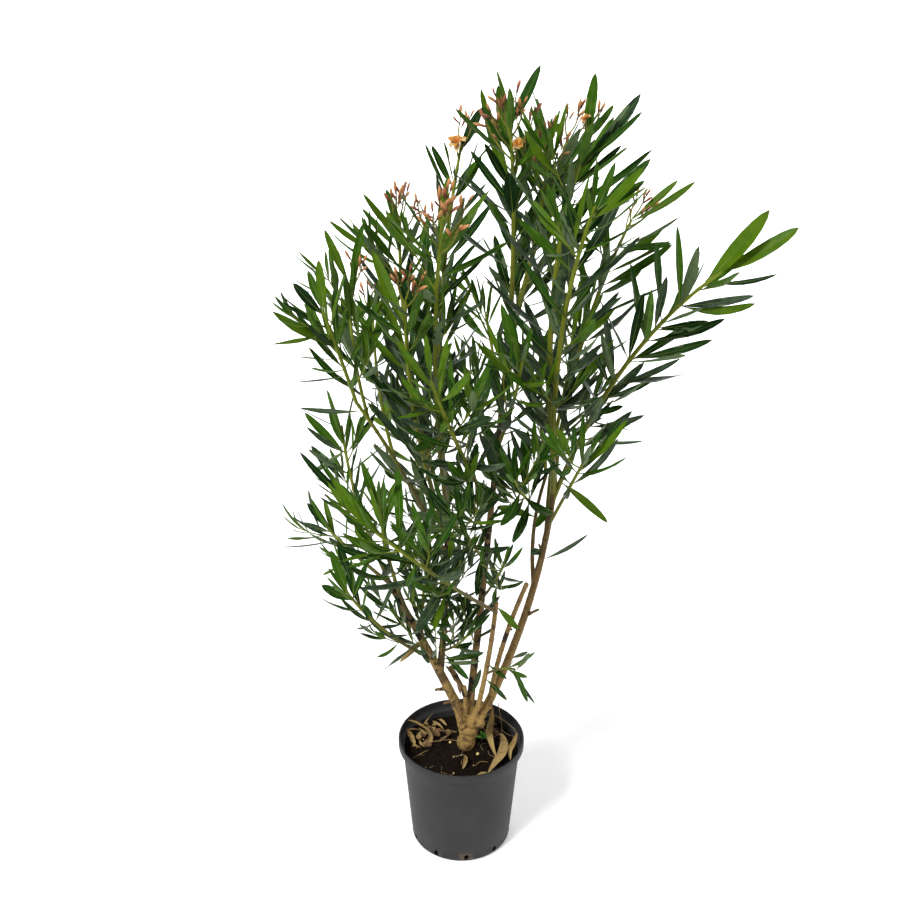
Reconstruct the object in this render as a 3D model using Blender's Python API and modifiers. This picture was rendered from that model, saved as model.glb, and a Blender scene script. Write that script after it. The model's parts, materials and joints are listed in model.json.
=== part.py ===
"""Potted oleander: a grower's pot of soil, a knuckled root crown, stems and boughs, and leafy shoots.

Metres, +Z up, the origin at the centre of the pot's flat underside. Every stem, bough and leading shoot is
one curve from a place on its parent to its own tip. A mass of foliage is one leading shoot with its side
twigs, whorls of leaves and flower buds, which a seeded rule deals out and one Boolean union joins.
"""

import math
import random
from collections import namedtuple

import bmesh
import bpy
from mathutils import Matrix, Vector
from mathutils.bvhtree import BVHTree
from mathutils.geometry import intersect_point_line

GAP = 0.0003  # between pieces that touch

# Pot
POT_HEIGHT = 0.240
RIM_RADIUS = 0.130
RIM_BAND = 0.018
RIM_STEP = 0.0085  # how far the rim band stands out from the wall
RIM_THICKNESS = 0.0034
BODY_TOP_RADIUS = RIM_RADIUS - RIM_STEP
BODY_FOOT_RADIUS = 0.104
FOOT_ROUNDING = 0.008
WALL = 0.0022
FLOOR = 0.0032
INNER_ROUNDING = 0.0055
STEP_SLOPE = 0.0015  # height of the slope under the rim band
BAND_TAPER = 0.0004
POT_STEPS = 30
DRAINS = 10
DRAIN_FIRST_ANGLE = math.radians(-84)
DRAIN_WIDTH = 0.010
DRAIN_HEIGHT = 0.015
DRAIN_FOOT = 0.004
DRAIN_DEPTH = 0.014  # of the cutter, through the wall and the corner of the floor

# Soil
SOIL_TOP = 0.210

# Root crown: each knuckle runs from the foot to where a stem starts
CROWN_FOOT = Vector((0.012, 0.0, SOIL_TOP - 0.010))
CROWN_FOOT_RADIUS = 0.0200
CROWN_STEP = 0.022
CROWN_SIDES = 2  # bevel resolution, for eight sides
CROWN_SWELL = 1.22  # how much wider a knuckle is half way up
KNUCKLE_FOOT = 0.80  # a knuckle's foot against the crown's own
KNUCKLE_START = 0.10  # the share of its lean that a knuckle has at its foot
KNUCKLE_BOW = 0.12  # how far its middle lies out, as a share of its lean

# Limbs
LIMB_STEP = 0.060
LIMB_SIDES = 2  # bevel resolution, for eight sides
TIP_INSET = 0.0015  # how deep in its parent's tip a limb or shoot starts
TOUCH_STEPS = 24  # places along a limb where its nearness to another is tested
SHOOT_STEP = 0.075
SHOOT_TIP_RADIUS = 0.0012
TWIG_RADIUS = 0.0017

# Leaves: whorls of three, upright at a shoot's tip and spreading further down
LEAF_COUNT = 3
WHORL_SPACING = 0.094
WHORL_CLOSEST = 0.62  # the first space below the tip against the full one
WHORL_OPENING = 1.3  # how much wider each space is than the one above
LEAF_WIDTH_RATIO = 0.245
LEAF_THICKNESS = 0.0020
LEAF_WIDEST = 0.42
LEAF_CLEAR = 0.0016  # around a leaf, to any other piece of the crown
TIP_SPREAD = math.radians(15)
SPREAD_RISE = math.radians(15)  # from one whorl to the next one down
YOUNG_LEAF = 0.84  # length of a leaf at the tip against the shoot's full one
LEAF_GROWTH = 0.16  # and what each whorl further down adds
LEAF_SIZES = (0.86, 1.08)
SPREAD_JITTER = math.radians(9)
TURN_JITTER = math.radians(16)
DROOP = 0.16  # how far a leaf at 60 degrees bends down, as a share of its length
LEAF_SUNK = 0.4  # how deep its root lies in the stem, as a share of the stem's radius
LEAF_HEART = 0.6  # the share of its length at which a leaf keeps to its own mass
LEAF_OUTER = 0.2  # from this share on it keeps clear of its own stems too
LEAF_TRIES = ((0, 1.0), (22, 1.0), (-22, 1.0), (0, 0.82), (40, 0.9), (-40, 0.82))  # degrees, and size

BELOW_TIP = 0.004  # the top whorl's distance from the shoot's tip
BELOW_BLOSSOM = 0.026
MASS_SOLVER = "MANIFOLD"  # the exact solver loses some of these thin blades

# Side twigs
TWIG_LENGTH = 0.075
TWIG_LEAFY = 0.30  # share of the twig that bears leaves
TWIG_LEAF = 0.86  # length of its leaf against the shoot's own
TWIG_ANGLE = math.radians(42)
TWIG_SIZES = (0.85, 1.2)
TWIG_HIGHEST = 0.66  # share of the shoot at which its first twig stands
TWIG_SPACING = 0.24
TWIG_JITTER = 0.05
TWIG_BOW = 0.05  # share of its length
TWIG_OUTER = 0.25  # from this share on it keeps clear of its own shoot
TWIG_TRIES = 6

# Blossom
BUD_REACH = 0.046  # from the shoot's tip to the bud's own
BUD_WIDTH = 0.0070
BUD_WIDEST = 0.72
BUD_SPREAD = math.radians(44)
BUD_SIZES = (0.75, 1.2)
BUD_INNER = 0.3  # how far the first bud spreads against the last
BUD_STAGGER = 0.003  # how much deeper each of three buds in turn is rooted
FLOWER_RADIUS = 0.0115
FLOWER_SPREAD = math.radians(75)
FLOWER_SUNK = 0.8  # its middle's distance from the tip, as a share of its radius
BLOSSOM_JITTER = 0.3

GOLDEN_TURN = math.radians(137.5)

Knuckle = namedtuple("Knuckle", "tip radius")
Limb = namedtuple("Limb", "parent along tip bow foot_radius tip_radius")
Shoot = namedtuple(
    "Shoot", "parent along tip bow radius leafy leaf spread turn twigs buds flowers", defaults=(0, 0)
)

KNUCKLES = {
    "left": Knuckle((-0.008, 0.002, 0.312), 0.0130),
    "centre": Knuckle((0.018, 0.008, 0.318), 0.0110),
    "front": Knuckle((0.033, -0.014, 0.318), 0.0078),
    "right": Knuckle((0.053, 0.004, 0.312), 0.0115),
    "dead": Knuckle((0.006, -0.008, 0.368), 0.0056),
}

# A limb starts on its parent at the given share of the parent's length. Its tip is in metres, and its bow
# is how far its middle lies off the straight line.
LIMBS = {
    "left_stem": Limb("left", 1.0, (-0.140, -0.040, 0.625), (0.006, 0.0, -0.006), 0.0102, 0.0062),
    "left_upright": Limb("left_stem", 0.31, (-0.030, 0.060, 0.750), (0.006, 0.0, 0.006), 0.0074, 0.0054),
    "left_brace": Limb("dead", 0.86, (-0.024, -0.004, 0.412), (0.002, -0.002, 0.003), 0.0048, 0.0044),
    "left_bough": Limb("left_upright", 0.66, (-0.190, -0.050, 0.995), (0.004, 0.004, 0.010), 0.0046, 0.0034),
    "central_stem": Limb("centre", 1.0, (0.085, 0.020, 1.140), (0.002, 0.006, 0.0), 0.0082, 0.0044),
    "centre_thin": Limb("front", 1.0, (0.065, -0.055, 0.590), (0.004, 0.0, 0.0), 0.0056, 0.0046),
    "right_stem": Limb("right", 1.0, (0.175, 0.020, 0.805), (0.021, 0.0, 0.0), 0.0088, 0.0058),
    "inner_right": Limb("right_stem", 0.03, (0.121, -0.070, 0.640), (-0.009, -0.002, 0.0), 0.0056, 0.0046),
    "right_twin": Limb("right_stem", 0.56, (0.165, 0.090, 0.790), (-0.012, 0.004, 0.0), 0.0046, 0.0036),
}

# A shoot starts like a limb, and its first line ends with its foot's radius. Its second line holds the share
# of it that bears leaves, the length and furthest spread (degrees) of its leaves, the turn of its top whorl
# (degrees), and how many twigs, buds and faded flowers it has.
SHOOTS = {
    "top": Shoot(
        "central_stem", 1.0, (0.076, 0.010, 1.470), (0.005, 0.005, 0.0), 0.0038,
        1.0, 0.130, 58, 20, 2, 5, 2,
    ),
    "top_right": Shoot(
        "central_stem", 0.87, (0.195, 0.200, 1.425), (-0.010, 0.0, -0.018), 0.0038,
        0.86, 0.124, 52, 0, 1, 4,
    ),
    "top_middle": Shoot(
        "central_stem", 0.955, (0.145, 0.044, 1.412), (0.010, 0.006, -0.004), 0.0032,
        0.80, 0.116, 48, 35, 0, 4,
    ),
    "leader_back": Shoot(
        "left_upright", 1.0, (0.000, 0.240, 1.410), (-0.026, 0.0, 0.004), 0.0046,
        0.84, 0.122, 56, 10, 2, 4, 1,
    ),
    "leader_front": Shoot(
        "left_upright", 0.94, (-0.035, -0.140, 1.330), (-0.016, -0.006, 0.016), 0.0042,
        0.80, 0.124, 58, 50, 2, 6, 1,
    ),
    "left_middle": Shoot(
        "left_upright", 0.86, (-0.115, 0.160, 1.285), (-0.028, 0.002, 0.030), 0.0040,
        0.80, 0.124, 52, 25, 1, 3,
    ),
    "left_front": Shoot(
        "left_upright", 0.79, (-0.096, -0.110, 1.195), (-0.022, -0.016, 0.020), 0.0040,
        0.80, 0.120, 56, 70, 1, 4,
    ),
    "left_tip": Shoot(
        "left_bough", 1.0, (-0.234, -0.115, 1.180), (0.005, 0.004, -0.016), 0.0030,
        1.0, 0.108, 58, 15, 2,
    ),
    "left_high": Shoot(
        "left_bough", 0.88, (-0.205, 0.080, 1.180), (-0.010, 0.002, 0.0), 0.0028,
        0.78, 0.120, 52, 40, 1, 3,
    ),
    "left_back": Shoot(
        "left_bough", 0.62, (-0.175, 0.220, 1.090), (-0.010, 0.018, -0.018), 0.0030,
        0.76, 0.120, 58, 5, 1, 3,
    ),
    "right_high": Shoot(
        "right_stem", 1.0, (0.202, -0.060, 1.455), (-0.034, -0.008, 0.050), 0.0048,
        0.92, 0.132, 55, 30, 2, 2, 1,
    ),
    "right_front": Shoot(
        "right_stem", 0.955, (0.196, -0.205, 1.365), (-0.022, -0.006, 0.040), 0.0042,
        0.88, 0.128, 55, 0, 2,
    ),
    "right_back": Shoot(
        "right_stem", 0.89, (0.312, 0.150, 1.280), (-0.024, 0.006, 0.020), 0.0042,
        0.86, 0.130, 56, 45, 2, 4,
    ),
    "right_reach": Shoot(
        "right_stem", 0.92, (0.442, -0.040, 1.228), (-0.020, 0.010, 0.042), 0.0042,
        0.86, 0.146, 58, 12, 1,
    ),
    "right_low": Shoot(
        "right_stem", 0.82, (0.212, -0.120, 0.915), (0.004, -0.010, 0.016), 0.0030,
        0.62, 0.112, 72, 25, 1,
    ),
    "back_right": Shoot(
        "right_stem", 0.78, (0.248, 0.270, 1.058), (-0.014, 0.012, 0.0), 0.0038,
        0.72, 0.122, 62, 40, 2,
    ),
    "middle_front": Shoot(
        "central_stem", 0.53, (-0.055, -0.220, 1.095), (-0.006, -0.020, 0.006), 0.0036,
        0.76, 0.126, 60, 30, 2,
    ),
    "centre_front": Shoot(
        "central_stem", 0.68, (0.096, -0.140, 1.100), (0.006, -0.004, 0.004), 0.0030,
        0.74, 0.116, 62, 10, 1,
    ),
    "centre_left": Shoot(
        "central_stem", 0.39, (-0.012, -0.112, 0.800), (-0.006, -0.004, 0.008), 0.0028,
        0.66, 0.108, 70, 40, 1,
    ),
    "centre_twig": Shoot(
        "central_stem", 0.80, (0.044, 0.170, 1.100), (0.0, 0.010, -0.006), 0.0028,
        0.80, 0.112, 64, 50, 1,
    ),
    "back_centre": Shoot(
        "central_stem", 0.60, (0.030, 0.270, 0.960), (0.0, 0.008, -0.012), 0.0032,
        0.72, 0.120, 62, 15, 2,
    ),
    "inner_twig": Shoot(
        "central_stem", 0.44, (0.010, 0.170, 0.745), (0.0, 0.010, -0.008), 0.0026,
        0.70, 0.104, 68, 45, 1,
    ),
    "low_centre": Shoot(
        "central_stem", 0.29, (0.076, -0.102, 0.700), (0.006, -0.006, 0.008), 0.0024,
        0.60, 0.084, 72, 20, 0,
    ),
    "twin_tip": Shoot(
        "right_twin", 1.0, (0.124, 0.170, 1.000), (0.008, 0.004, 0.0), 0.0032,
        0.95, 0.118, 66, 0, 2,
    ),
    "twin_front": Shoot(
        "right_twin", 0.72, (0.088, -0.130, 0.880), (0.0, -0.006, -0.008), 0.0028,
        0.70, 0.118, 72, 30, 1,
    ),
    "back_left": Shoot(
        "left_upright", 0.73, (-0.125, 0.265, 0.850), (0.0, 0.012, -0.014), 0.0030,
        0.72, 0.120, 64, 0, 2,
    ),
    "back_low": Shoot(
        "left_upright", 0.45, (-0.085, 0.200, 0.715), (-0.008, 0.008, -0.006), 0.0026,
        0.65, 0.108, 68, 20, 1,
    ),
    "low_inner": Shoot(
        "left_upright", 0.34, (0.006, 0.120, 0.605), (0.0, 0.006, 0.0), 0.0024,
        0.70, 0.086, 72, 35, 0,
    ),
    "left_rear": Shoot(
        "left_stem", 0.93, (-0.240, 0.168, 0.868), (-0.020, 0.034, -0.016), 0.0034,
        0.74, 0.120, 66, 10, 2,
    ),
    "left_side": Shoot(
        "left_stem", 1.0, (-0.262, 0.034, 0.705), (-0.010, 0.0, 0.006), 0.0032,
        0.85, 0.124, 74, 35, 1,
    ),
    "front_low": Shoot(
        "left_stem", 0.72, (-0.145, -0.165, 0.850), (-0.010, -0.012, 0.008), 0.0032,
        0.68, 0.120, 66, 0, 1,
    ),
    "low_front": Shoot(
        "centre_thin", 0.92, (-0.150, -0.240, 0.835), (0.010, -0.020, -0.004), 0.0032,
        0.62, 0.122, 66, 25, 1,
    ),
    "low_left": Shoot(
        "left_stem", 0.42, (-0.215, -0.120, 0.655), (-0.010, -0.012, -0.004), 0.0030,
        0.48, 0.098, 62, 50, 0,
    ),
    "low_twig": Shoot(
        "left_stem", 0.55, (-0.060, -0.085, 0.680), (-0.010, -0.010, 0.004), 0.0024,
        0.75, 0.084, 70, 5, 1,
    ),
    "foot_left": Shoot(
        "left_upright", 0.12, (0.010, -0.075, 0.530), (0.004, -0.012, 0.004), 0.0022,
        0.65, 0.078, 78, 30, 0,
    ),
    "foot_right": Shoot(
        "centre_thin", 0.34, (0.104, -0.095, 0.465), (0.0, -0.004, 0.010), 0.0022,
        0.70, 0.076, 96, 0, 0,
    ),
}

COLOURS = {
    "pot_plastic": ((0.055, 0.056, 0.060), 0.50),
    "damp_soil": ((0.022, 0.014, 0.010), 0.95),
    "tan_bark": ((0.330, 0.215, 0.110), 0.85),
    "brown_bark": ((0.200, 0.130, 0.070), 0.80),
    "green_bark": ((0.190, 0.250, 0.060), 0.60),
    "leaf_green": ((0.040, 0.115, 0.028), 0.45),
}
GREEN_LIMBS = {"left_bough"}


# ---------------------------------------------------------------------------------------------------------
# Scene, materials and meshes
# ---------------------------------------------------------------------------------------------------------


def clear_scene():
    """Removes what the scene starts with."""
    for obj in list(bpy.data.objects):
        bpy.data.objects.remove(obj)
    for collection in list(bpy.data.collections):
        bpy.data.collections.remove(collection)


def new_collection(name):
    collection = bpy.data.collections.new(name)
    bpy.context.scene.collection.children.link(collection)
    return collection


def finish_of(name):
    """The named Principled material, made on first use."""
    if name in bpy.data.materials:
        return bpy.data.materials[name]
    colour, roughness = COLOURS[name]
    material = bpy.data.materials.new(name)
    material.use_nodes = True
    shader = material.node_tree.nodes["Principled BSDF"]
    shader.inputs["Base Color"].default_value = (*colour, 1.0)
    shader.inputs["Roughness"].default_value = roughness
    return material


def add_object(name, mesh, collection, finish=None):
    """An object of the mesh in the collection, with a material when one is named."""
    obj = bpy.data.objects.new(name, mesh)
    collection.objects.link(obj)
    if finish:
        mesh.materials.clear()
        mesh.materials.append(finish_of(finish))
    return obj


def smooth(obj, angle=math.radians(40)):
    obj.data.shade_smooth()
    obj.data.set_sharp_from_angle(angle=angle)


def mesh_from_bmesh(name, bm):
    mesh = bpy.data.meshes.new(name)
    bm.to_mesh(mesh)
    bm.free()
    return mesh


def boolean(obj, operation, other, solver="EXACT"):
    """A Boolean modifier on the object, with an object or a whole collection as the other side."""
    modifier = obj.modifiers.new(operation.lower(), "BOOLEAN")
    modifier.operation = operation
    modifier.solver = solver
    if isinstance(other, bpy.types.Collection):
        modifier.operand_type = "COLLECTION"
        modifier.collection = other
    else:
        modifier.object = other
    return modifier


def evaluated_mesh(obj):
    """A new mesh of the object as its modifiers or its curve make it, with coinciding points welded."""
    graph = bpy.context.evaluated_depsgraph_get()
    mesh = bpy.data.meshes.new_from_object(obj.evaluated_get(graph))
    bm = bmesh.new()
    bm.from_mesh(mesh)
    bmesh.ops.remove_doubles(bm, verts=bm.verts, dist=1e-7)
    bm.to_mesh(mesh)
    bm.free()
    return mesh


def apply_modifiers(obj):
    mesh = evaluated_mesh(obj)
    obj.modifiers.clear()
    obj.data = mesh


def remove_objects(objects):
    for obj in list(objects):
        bpy.data.objects.remove(obj)


# ---------------------------------------------------------------------------------------------------------
# Curves and tubes
# ---------------------------------------------------------------------------------------------------------


class Axis:
    """The middle line of a tube: a quadratic curve from foot to tip, bowed at its middle, in straight steps.

    With no sides given its tube is a three-sided twig.
    """

    def __init__(self, foot, tip, bow, foot_radius, tip_radius, step, sides=None, swell=1.0):
        self.foot, self.tip = Vector(foot), Vector(tip)
        self.control = (self.foot + self.tip) / 2 + 2 * Vector(bow)
        self.foot_radius, self.tip_radius, self.swell = foot_radius, tip_radius, swell
        self.sides = sides
        steps = max(2, round((self.tip - self.foot).length / step))
        self.stations = [self.curve(i / steps) for i in range(steps + 1)]
        self.length = sum((b - a).length for a, b in zip(self.stations, self.stations[1:]))

    def curve(self, share):
        back = 1 - share
        return back * back * self.foot + 2 * back * share * self.control + share * share * self.tip

    def point(self, share):
        """A place on the straight steps, where the tube's middle really runs."""
        place = share * (len(self.stations) - 1)
        index = min(int(place), len(self.stations) - 2)
        return self.stations[index].lerp(self.stations[index + 1], place - index)

    def heading(self, share):
        return ((1 - share) * (self.control - self.foot) + share * (self.tip - self.control)).normalized()

    def radius(self, share):
        plain = self.foot_radius + (self.tip_radius - self.foot_radius) * share
        return plain * (1 + (self.swell - 1) * math.sin(math.pi * share))

    def distance(self, place):
        """How far the place lies from the nearest step of the line."""
        pairs = zip(self.stations, self.stations[1:])
        return min((nearest_between(place, a, b) - place).length for a, b in pairs)


def nearest_between(place, start, end):
    nearest, share = intersect_point_line(place, start, end)
    return start if share < 0 else end if share > 1 else nearest


def three_sides():
    """The cross-section of a twig: an unseen triangle that a twig's curve takes as its bevel."""
    if "three_sides" in bpy.data.objects:
        return bpy.data.objects["three_sides"]
    curve = bpy.data.curves.new("three_sides", "CURVE")
    curve.dimensions = "2D"
    spline = curve.splines.new("POLY")
    spline.points.add(2)
    for i, point in enumerate(spline.points):
        angle = 2 * math.pi * i / 3
        point.co = (math.cos(angle), math.sin(angle), 0, 1)
    spline.use_cyclic_u = True
    obj = bpy.data.objects.new("three_sides", curve)
    obj.hide_render = True
    bpy.data.collections["helpers"].objects.link(obj)
    return obj


def tube_mesh(axis, grow=0.0):
    """A closed tube along the axis, fatter and longer by grow."""
    curve = bpy.data.curves.new("tube", "CURVE")
    curve.dimensions = "3D"
    curve.use_fill_caps = True
    if axis.sides is None:
        curve.bevel_mode = "OBJECT"
        curve.bevel_object = three_sides()
    else:
        curve.bevel_depth = 1.0
        curve.bevel_resolution = axis.sides
    steps = len(axis.stations) - 1
    spline = curve.splines.new("POLY")
    spline.points.add(steps)
    for i, point in enumerate(spline.points):
        share = i / steps
        beyond = {0: -grow, steps: grow}.get(i, 0.0)
        point.co = (*(axis.stations[i] + axis.heading(share) * beyond), 1.0)
        point.radius = axis.radius(share) + grow
    obj = add_object("tube", curve, bpy.data.collections["helpers"])
    mesh = evaluated_mesh(obj)
    bpy.data.objects.remove(obj)
    bpy.data.curves.remove(curve)
    face_outwards(mesh)
    return mesh


def face_outwards(mesh):
    bm = bmesh.new()
    bm.from_mesh(mesh)
    bmesh.ops.recalc_face_normals(bm, faces=bm.faces)
    bm.to_mesh(mesh)
    bm.free()


def tree_of(mesh):
    bm = bmesh.new()
    bm.from_mesh(mesh)
    tree = BVHTree.FromBMesh(bm)
    bm.free()
    return tree


def cutter(name, mesh):
    """An unseen object for a Boolean."""
    obj = add_object(name, mesh, bpy.data.collections["helpers"])
    obj.hide_render = True
    obj.display_type = "WIRE"
    return obj


# ---------------------------------------------------------------------------------------------------------
# Pot and soil
# ---------------------------------------------------------------------------------------------------------


def body_radius(height):
    """The wall's outer radius below the rim band."""
    foot = Vector((BODY_FOOT_RADIUS, FOOT_ROUNDING))
    top = Vector((BODY_TOP_RADIUS, POT_HEIGHT - RIM_BAND))
    return foot.x + (top.x - foot.x) * (height - foot.y) / (top.y - foot.y)


def inner_profile(inset=0.0):
    """The pot's inside from the middle of its floor up to the rim band, moved inwards by the inset."""
    floor = FLOOR + inset
    corner = FOOT_ROUNDING
    step_foot = POT_HEIGHT - RIM_BAND - 2 * STEP_SLOPE
    return [
        (0.0, floor),
        (body_radius(corner) - WALL - INNER_ROUNDING - inset, floor),
        (body_radius(corner) - WALL - inset, floor + INNER_ROUNDING),
        (body_radius(step_foot) - WALL - inset, step_foot),
    ]


def pot_profile():
    """The turned outline: inside from the floor up, over the rounded rim, down the outside and under."""
    rim_inside = RIM_RADIUS - RIM_THICKNESS
    edge = RIM_THICKNESS / 2
    rim = [
        (rim_inside + edge - edge * math.cos(angle), POT_HEIGHT - edge + edge * math.sin(angle))
        for angle in (math.pi * i / 4 for i in range(5))
    ]
    band_foot = POT_HEIGHT - RIM_BAND
    outside = [
        (RIM_RADIUS - BAND_TAPER, band_foot),
        (body_radius(band_foot - STEP_SLOPE), band_foot - STEP_SLOPE),
    ]
    rounding = [
        (
            BODY_FOOT_RADIUS - FOOT_ROUNDING + FOOT_ROUNDING * math.cos(angle),
            FOOT_ROUNDING - FOOT_ROUNDING * math.sin(angle),
        )
        for angle in (math.pi / 2 * i / 3 for i in range(4))
    ]
    step = [(rim_inside, band_foot + STEP_SLOPE / 2)]
    return inner_profile() + step + rim + outside + rounding + [(0.0, 0.0)]


def turned(name, profile, collection, finish):
    """The profile turned round the Z axis."""
    mesh = bpy.data.meshes.new(name)
    mesh.from_pydata([(r, 0.0, z) for r, z in profile], [(i, i + 1) for i in range(len(profile) - 1)], [])
    obj = add_object(name, mesh, collection, finish)
    screw = obj.modifiers.new("turn", "SCREW")
    screw.steps = screw.render_steps = POT_STEPS
    screw.use_merge_vertices = True
    screw.merge_threshold = 0.00001
    return obj


def drain_slots():
    """The slots round the pot's foot, as one cutter of oval pegs that point outwards."""
    bm = bmesh.new()
    place = Matrix.Translation((BODY_FOOT_RADIUS, 0.0, DRAIN_FOOT + DRAIN_HEIGHT / 2))
    lay = Matrix.Rotation(math.pi / 2, 4, "Y")
    size = Matrix.Diagonal((DRAIN_HEIGHT / 2, DRAIN_WIDTH / 2, DRAIN_DEPTH, 1.0))
    for i in range(DRAINS):
        turn = Matrix.Rotation(DRAIN_FIRST_ANGLE + 2 * math.pi * i / DRAINS, 4, "Z")
        where = turn @ place @ lay @ size
        bmesh.ops.create_cone(bm, cap_ends=True, segments=8, radius1=1, radius2=1, depth=1, matrix=where)
    return cutter("drain_slots", mesh_from_bmesh("drain_slots", bm))


def build_pot(collection):
    pot = turned("pot", pot_profile(), collection, "pot_plastic")
    boolean(pot, "DIFFERENCE", drain_slots())


def build_soil(collection):
    """A plug of soil that fills the pot up to its flat top."""
    profile = [(r, z) for r, z in inner_profile(GAP) if z < SOIL_TOP]
    edge = body_radius(SOIL_TOP) - WALL - GAP
    # The outer side runs from top to bottom, so the plug's profile is turned from the top's middle.
    outline = [(0.0, SOIL_TOP), (edge, SOIL_TOP)] + profile[::-1]
    turned("soil", outline, collection, "damp_soil")


# ---------------------------------------------------------------------------------------------------------
# Root crown and limbs
# ---------------------------------------------------------------------------------------------------------


def knuckle_axes():
    """Each knuckle rises from its own side of the foot and leans out to its stem."""
    axes = {}
    for name, knuckle in KNUCKLES.items():
        tip = Vector(knuckle.tip)
        lean = Vector((tip.x - CROWN_FOOT.x, tip.y - CROWN_FOOT.y, 0.0))
        foot = CROWN_FOOT + lean * KNUCKLE_START
        radii = (CROWN_FOOT_RADIUS * KNUCKLE_FOOT, knuckle.radius)
        axes[name] = Axis(foot, tip, lean * KNUCKLE_BOW, *radii, CROWN_STEP, CROWN_SIDES, CROWN_SWELL)
    return axes


def build_root_crown(collection, axes):
    """The knuckles joined in one body, cut flat where it stands on the soil."""
    pieces = bpy.data.collections.new("knuckles")
    for name, axis in axes.items():
        add_object(name + "_knuckle", tube_mesh(axis), pieces)
    mesh = bpy.data.meshes.new("root_crown")
    bm = bmesh.new()
    bmesh.ops.create_uvsphere(
        bm, u_segments=12, v_segments=8, radius=CROWN_FOOT_RADIUS, matrix=Matrix.Translation(CROWN_FOOT)
    )
    bm.to_mesh(mesh)
    bm.free()
    crown = add_object("root_crown", mesh, collection, "tan_bark")
    bpy.context.scene.collection.children.link(pieces)
    boolean(crown, "UNION", pieces)
    bm = bmesh.new()
    depth = 2 * CROWN_FOOT_RADIUS
    below = Matrix.Translation((0, 0, SOIL_TOP + GAP - depth)) @ Matrix.Scale(2 * depth, 4)
    bmesh.ops.create_cube(bm, size=1.0, matrix=below)
    ground = cutter("ground_cut", mesh_from_bmesh("ground_cut", bm))
    boolean(crown, "DIFFERENCE", ground)
    apply_modifiers(crown)
    remove_objects([ground, *pieces.objects])
    bpy.data.collections.remove(pieces)


def foot_on(parent, along):
    """Where a branch starts: on its parent's middle line, just inside the tip when it leads on."""
    share = min(along, 1 - TIP_INSET / parent.length)
    return parent.point(share)


def touches(axis, other):
    """Whether two tubes come within about a millimetre of each other anywhere."""
    room = 0.001 + max(axis.length, other.length) / (4 * TOUCH_STEPS)
    shares = [i / TOUCH_STEPS for i in range(TOUCH_STEPS + 1)]
    return any(
        (axis.point(a) - other.point(b)).length < axis.radius(a) + other.radius(b) + room
        for a in shares
        for b in shares
    )


def cut_clear(obj, axis, earlier, solver="EXACT"):
    """Cuts the object clear of each earlier limb that its axis comes near, and applies its modifiers."""
    cutters = []
    for other in earlier:
        if touches(axis, other):
            cutters.append(cutter("clear", tube_mesh(other, GAP)))
            boolean(obj, "DIFFERENCE", cutters[-1], solver)
    apply_modifiers(obj)
    remove_objects(cutters)


def build_limbs(collection, axes):
    """Every stem and bough, each cut clear of what it grows from."""
    for name, limb in LIMBS.items():
        foot = foot_on(axes[limb.parent], limb.along)
        radii = (limb.foot_radius, limb.tip_radius)
        axis = Axis(foot, limb.tip, limb.bow, *radii, LIMB_STEP, LIMB_SIDES)
        finish = "green_bark" if name in GREEN_LIMBS else "brown_bark"
        obj = add_object(name, tube_mesh(axis), collection, finish)
        cut_clear(obj, axis, axes.values())
        smooth(obj)
        axes[name] = axis


# ---------------------------------------------------------------------------------------------------------
# Leaves, buds and flowers
# ---------------------------------------------------------------------------------------------------------


def blade(root, heading, side, length, width, thickness, droop=0, start=0, clear=0, widest=LEAF_WIDEST):
    """An eight-faced blade from root to tip, bent away from its upper face.

    With a start it leaves out that share nearest the root, and clear makes it larger all round.
    """
    upper = heading.cross(side)
    bm = bmesh.new()
    bmesh.ops.create_uvsphere(bm, u_segments=4, v_segments=2, radius=1.0)
    for vert in bm.verts:
        across, over, level = vert.co
        if abs(level) > 0.5:
            share, bend = (1.0, 1.0) if level > 0 else (start, start * start)
        else:
            share, bend = widest, widest**2
        along = length * share + (clear if level > 0.5 else 0.0)
        spread = side * across * (width / 2 + clear) + upper * over * (thickness / 2 + clear)
        vert.co = root + heading * along + spread - upper * droop * length * bend
    return bm


def tree_of_blade(*sizes, **options):
    bm = blade(*sizes, **options)
    tree = BVHTree.FromBMesh(bm)
    bm.free()
    return tree


class Space:
    """What already stands in the crown, and the test that keeps a new leaf or twig clear of it."""

    def __init__(self, limbs):
        self.limbs = [tree_of(tube_mesh(axis, LEAF_CLEAR)) for axis in limbs]
        self.leads = {}
        self.stems = {}
        self.leaves = {}

    def add_lead(self, name, axis):
        self.leads[name] = axis
        self.stems[name], self.leaves[name] = [], []
        self.add_stem(name, axis)

    def add_stem(self, name, axis):
        self.stems[name].append((axis, tree_of(tube_mesh(axis, LEAF_CLEAR))))

    def own(self, name, place):
        """Whether the place lies nearer to the shoot's own stems than to any other shoot."""
        mine = min(axis.distance(place) for axis, _ in self.stems[name])
        return all(mine < axis.distance(place) for other, axis in self.leads.items() if other != name)

    def free(self, name, centre, reach, whole, outer):
        """Whether the whole piece clears its neighbours and the outer part clears its own shoot."""
        if any(tree.overlap(whole) for tree in self.limbs):
            return False
        for other, stems in self.stems.items():
            mine = other == name
            tested = outer if mine else whole
            if any(tree.overlap(tested) for _, tree in stems):
                return False
            for place, length, tree in self.leaves[other]:
                if (place - centre).length < reach + length and tree.overlap(tested):
                    return False
        return True


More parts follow.
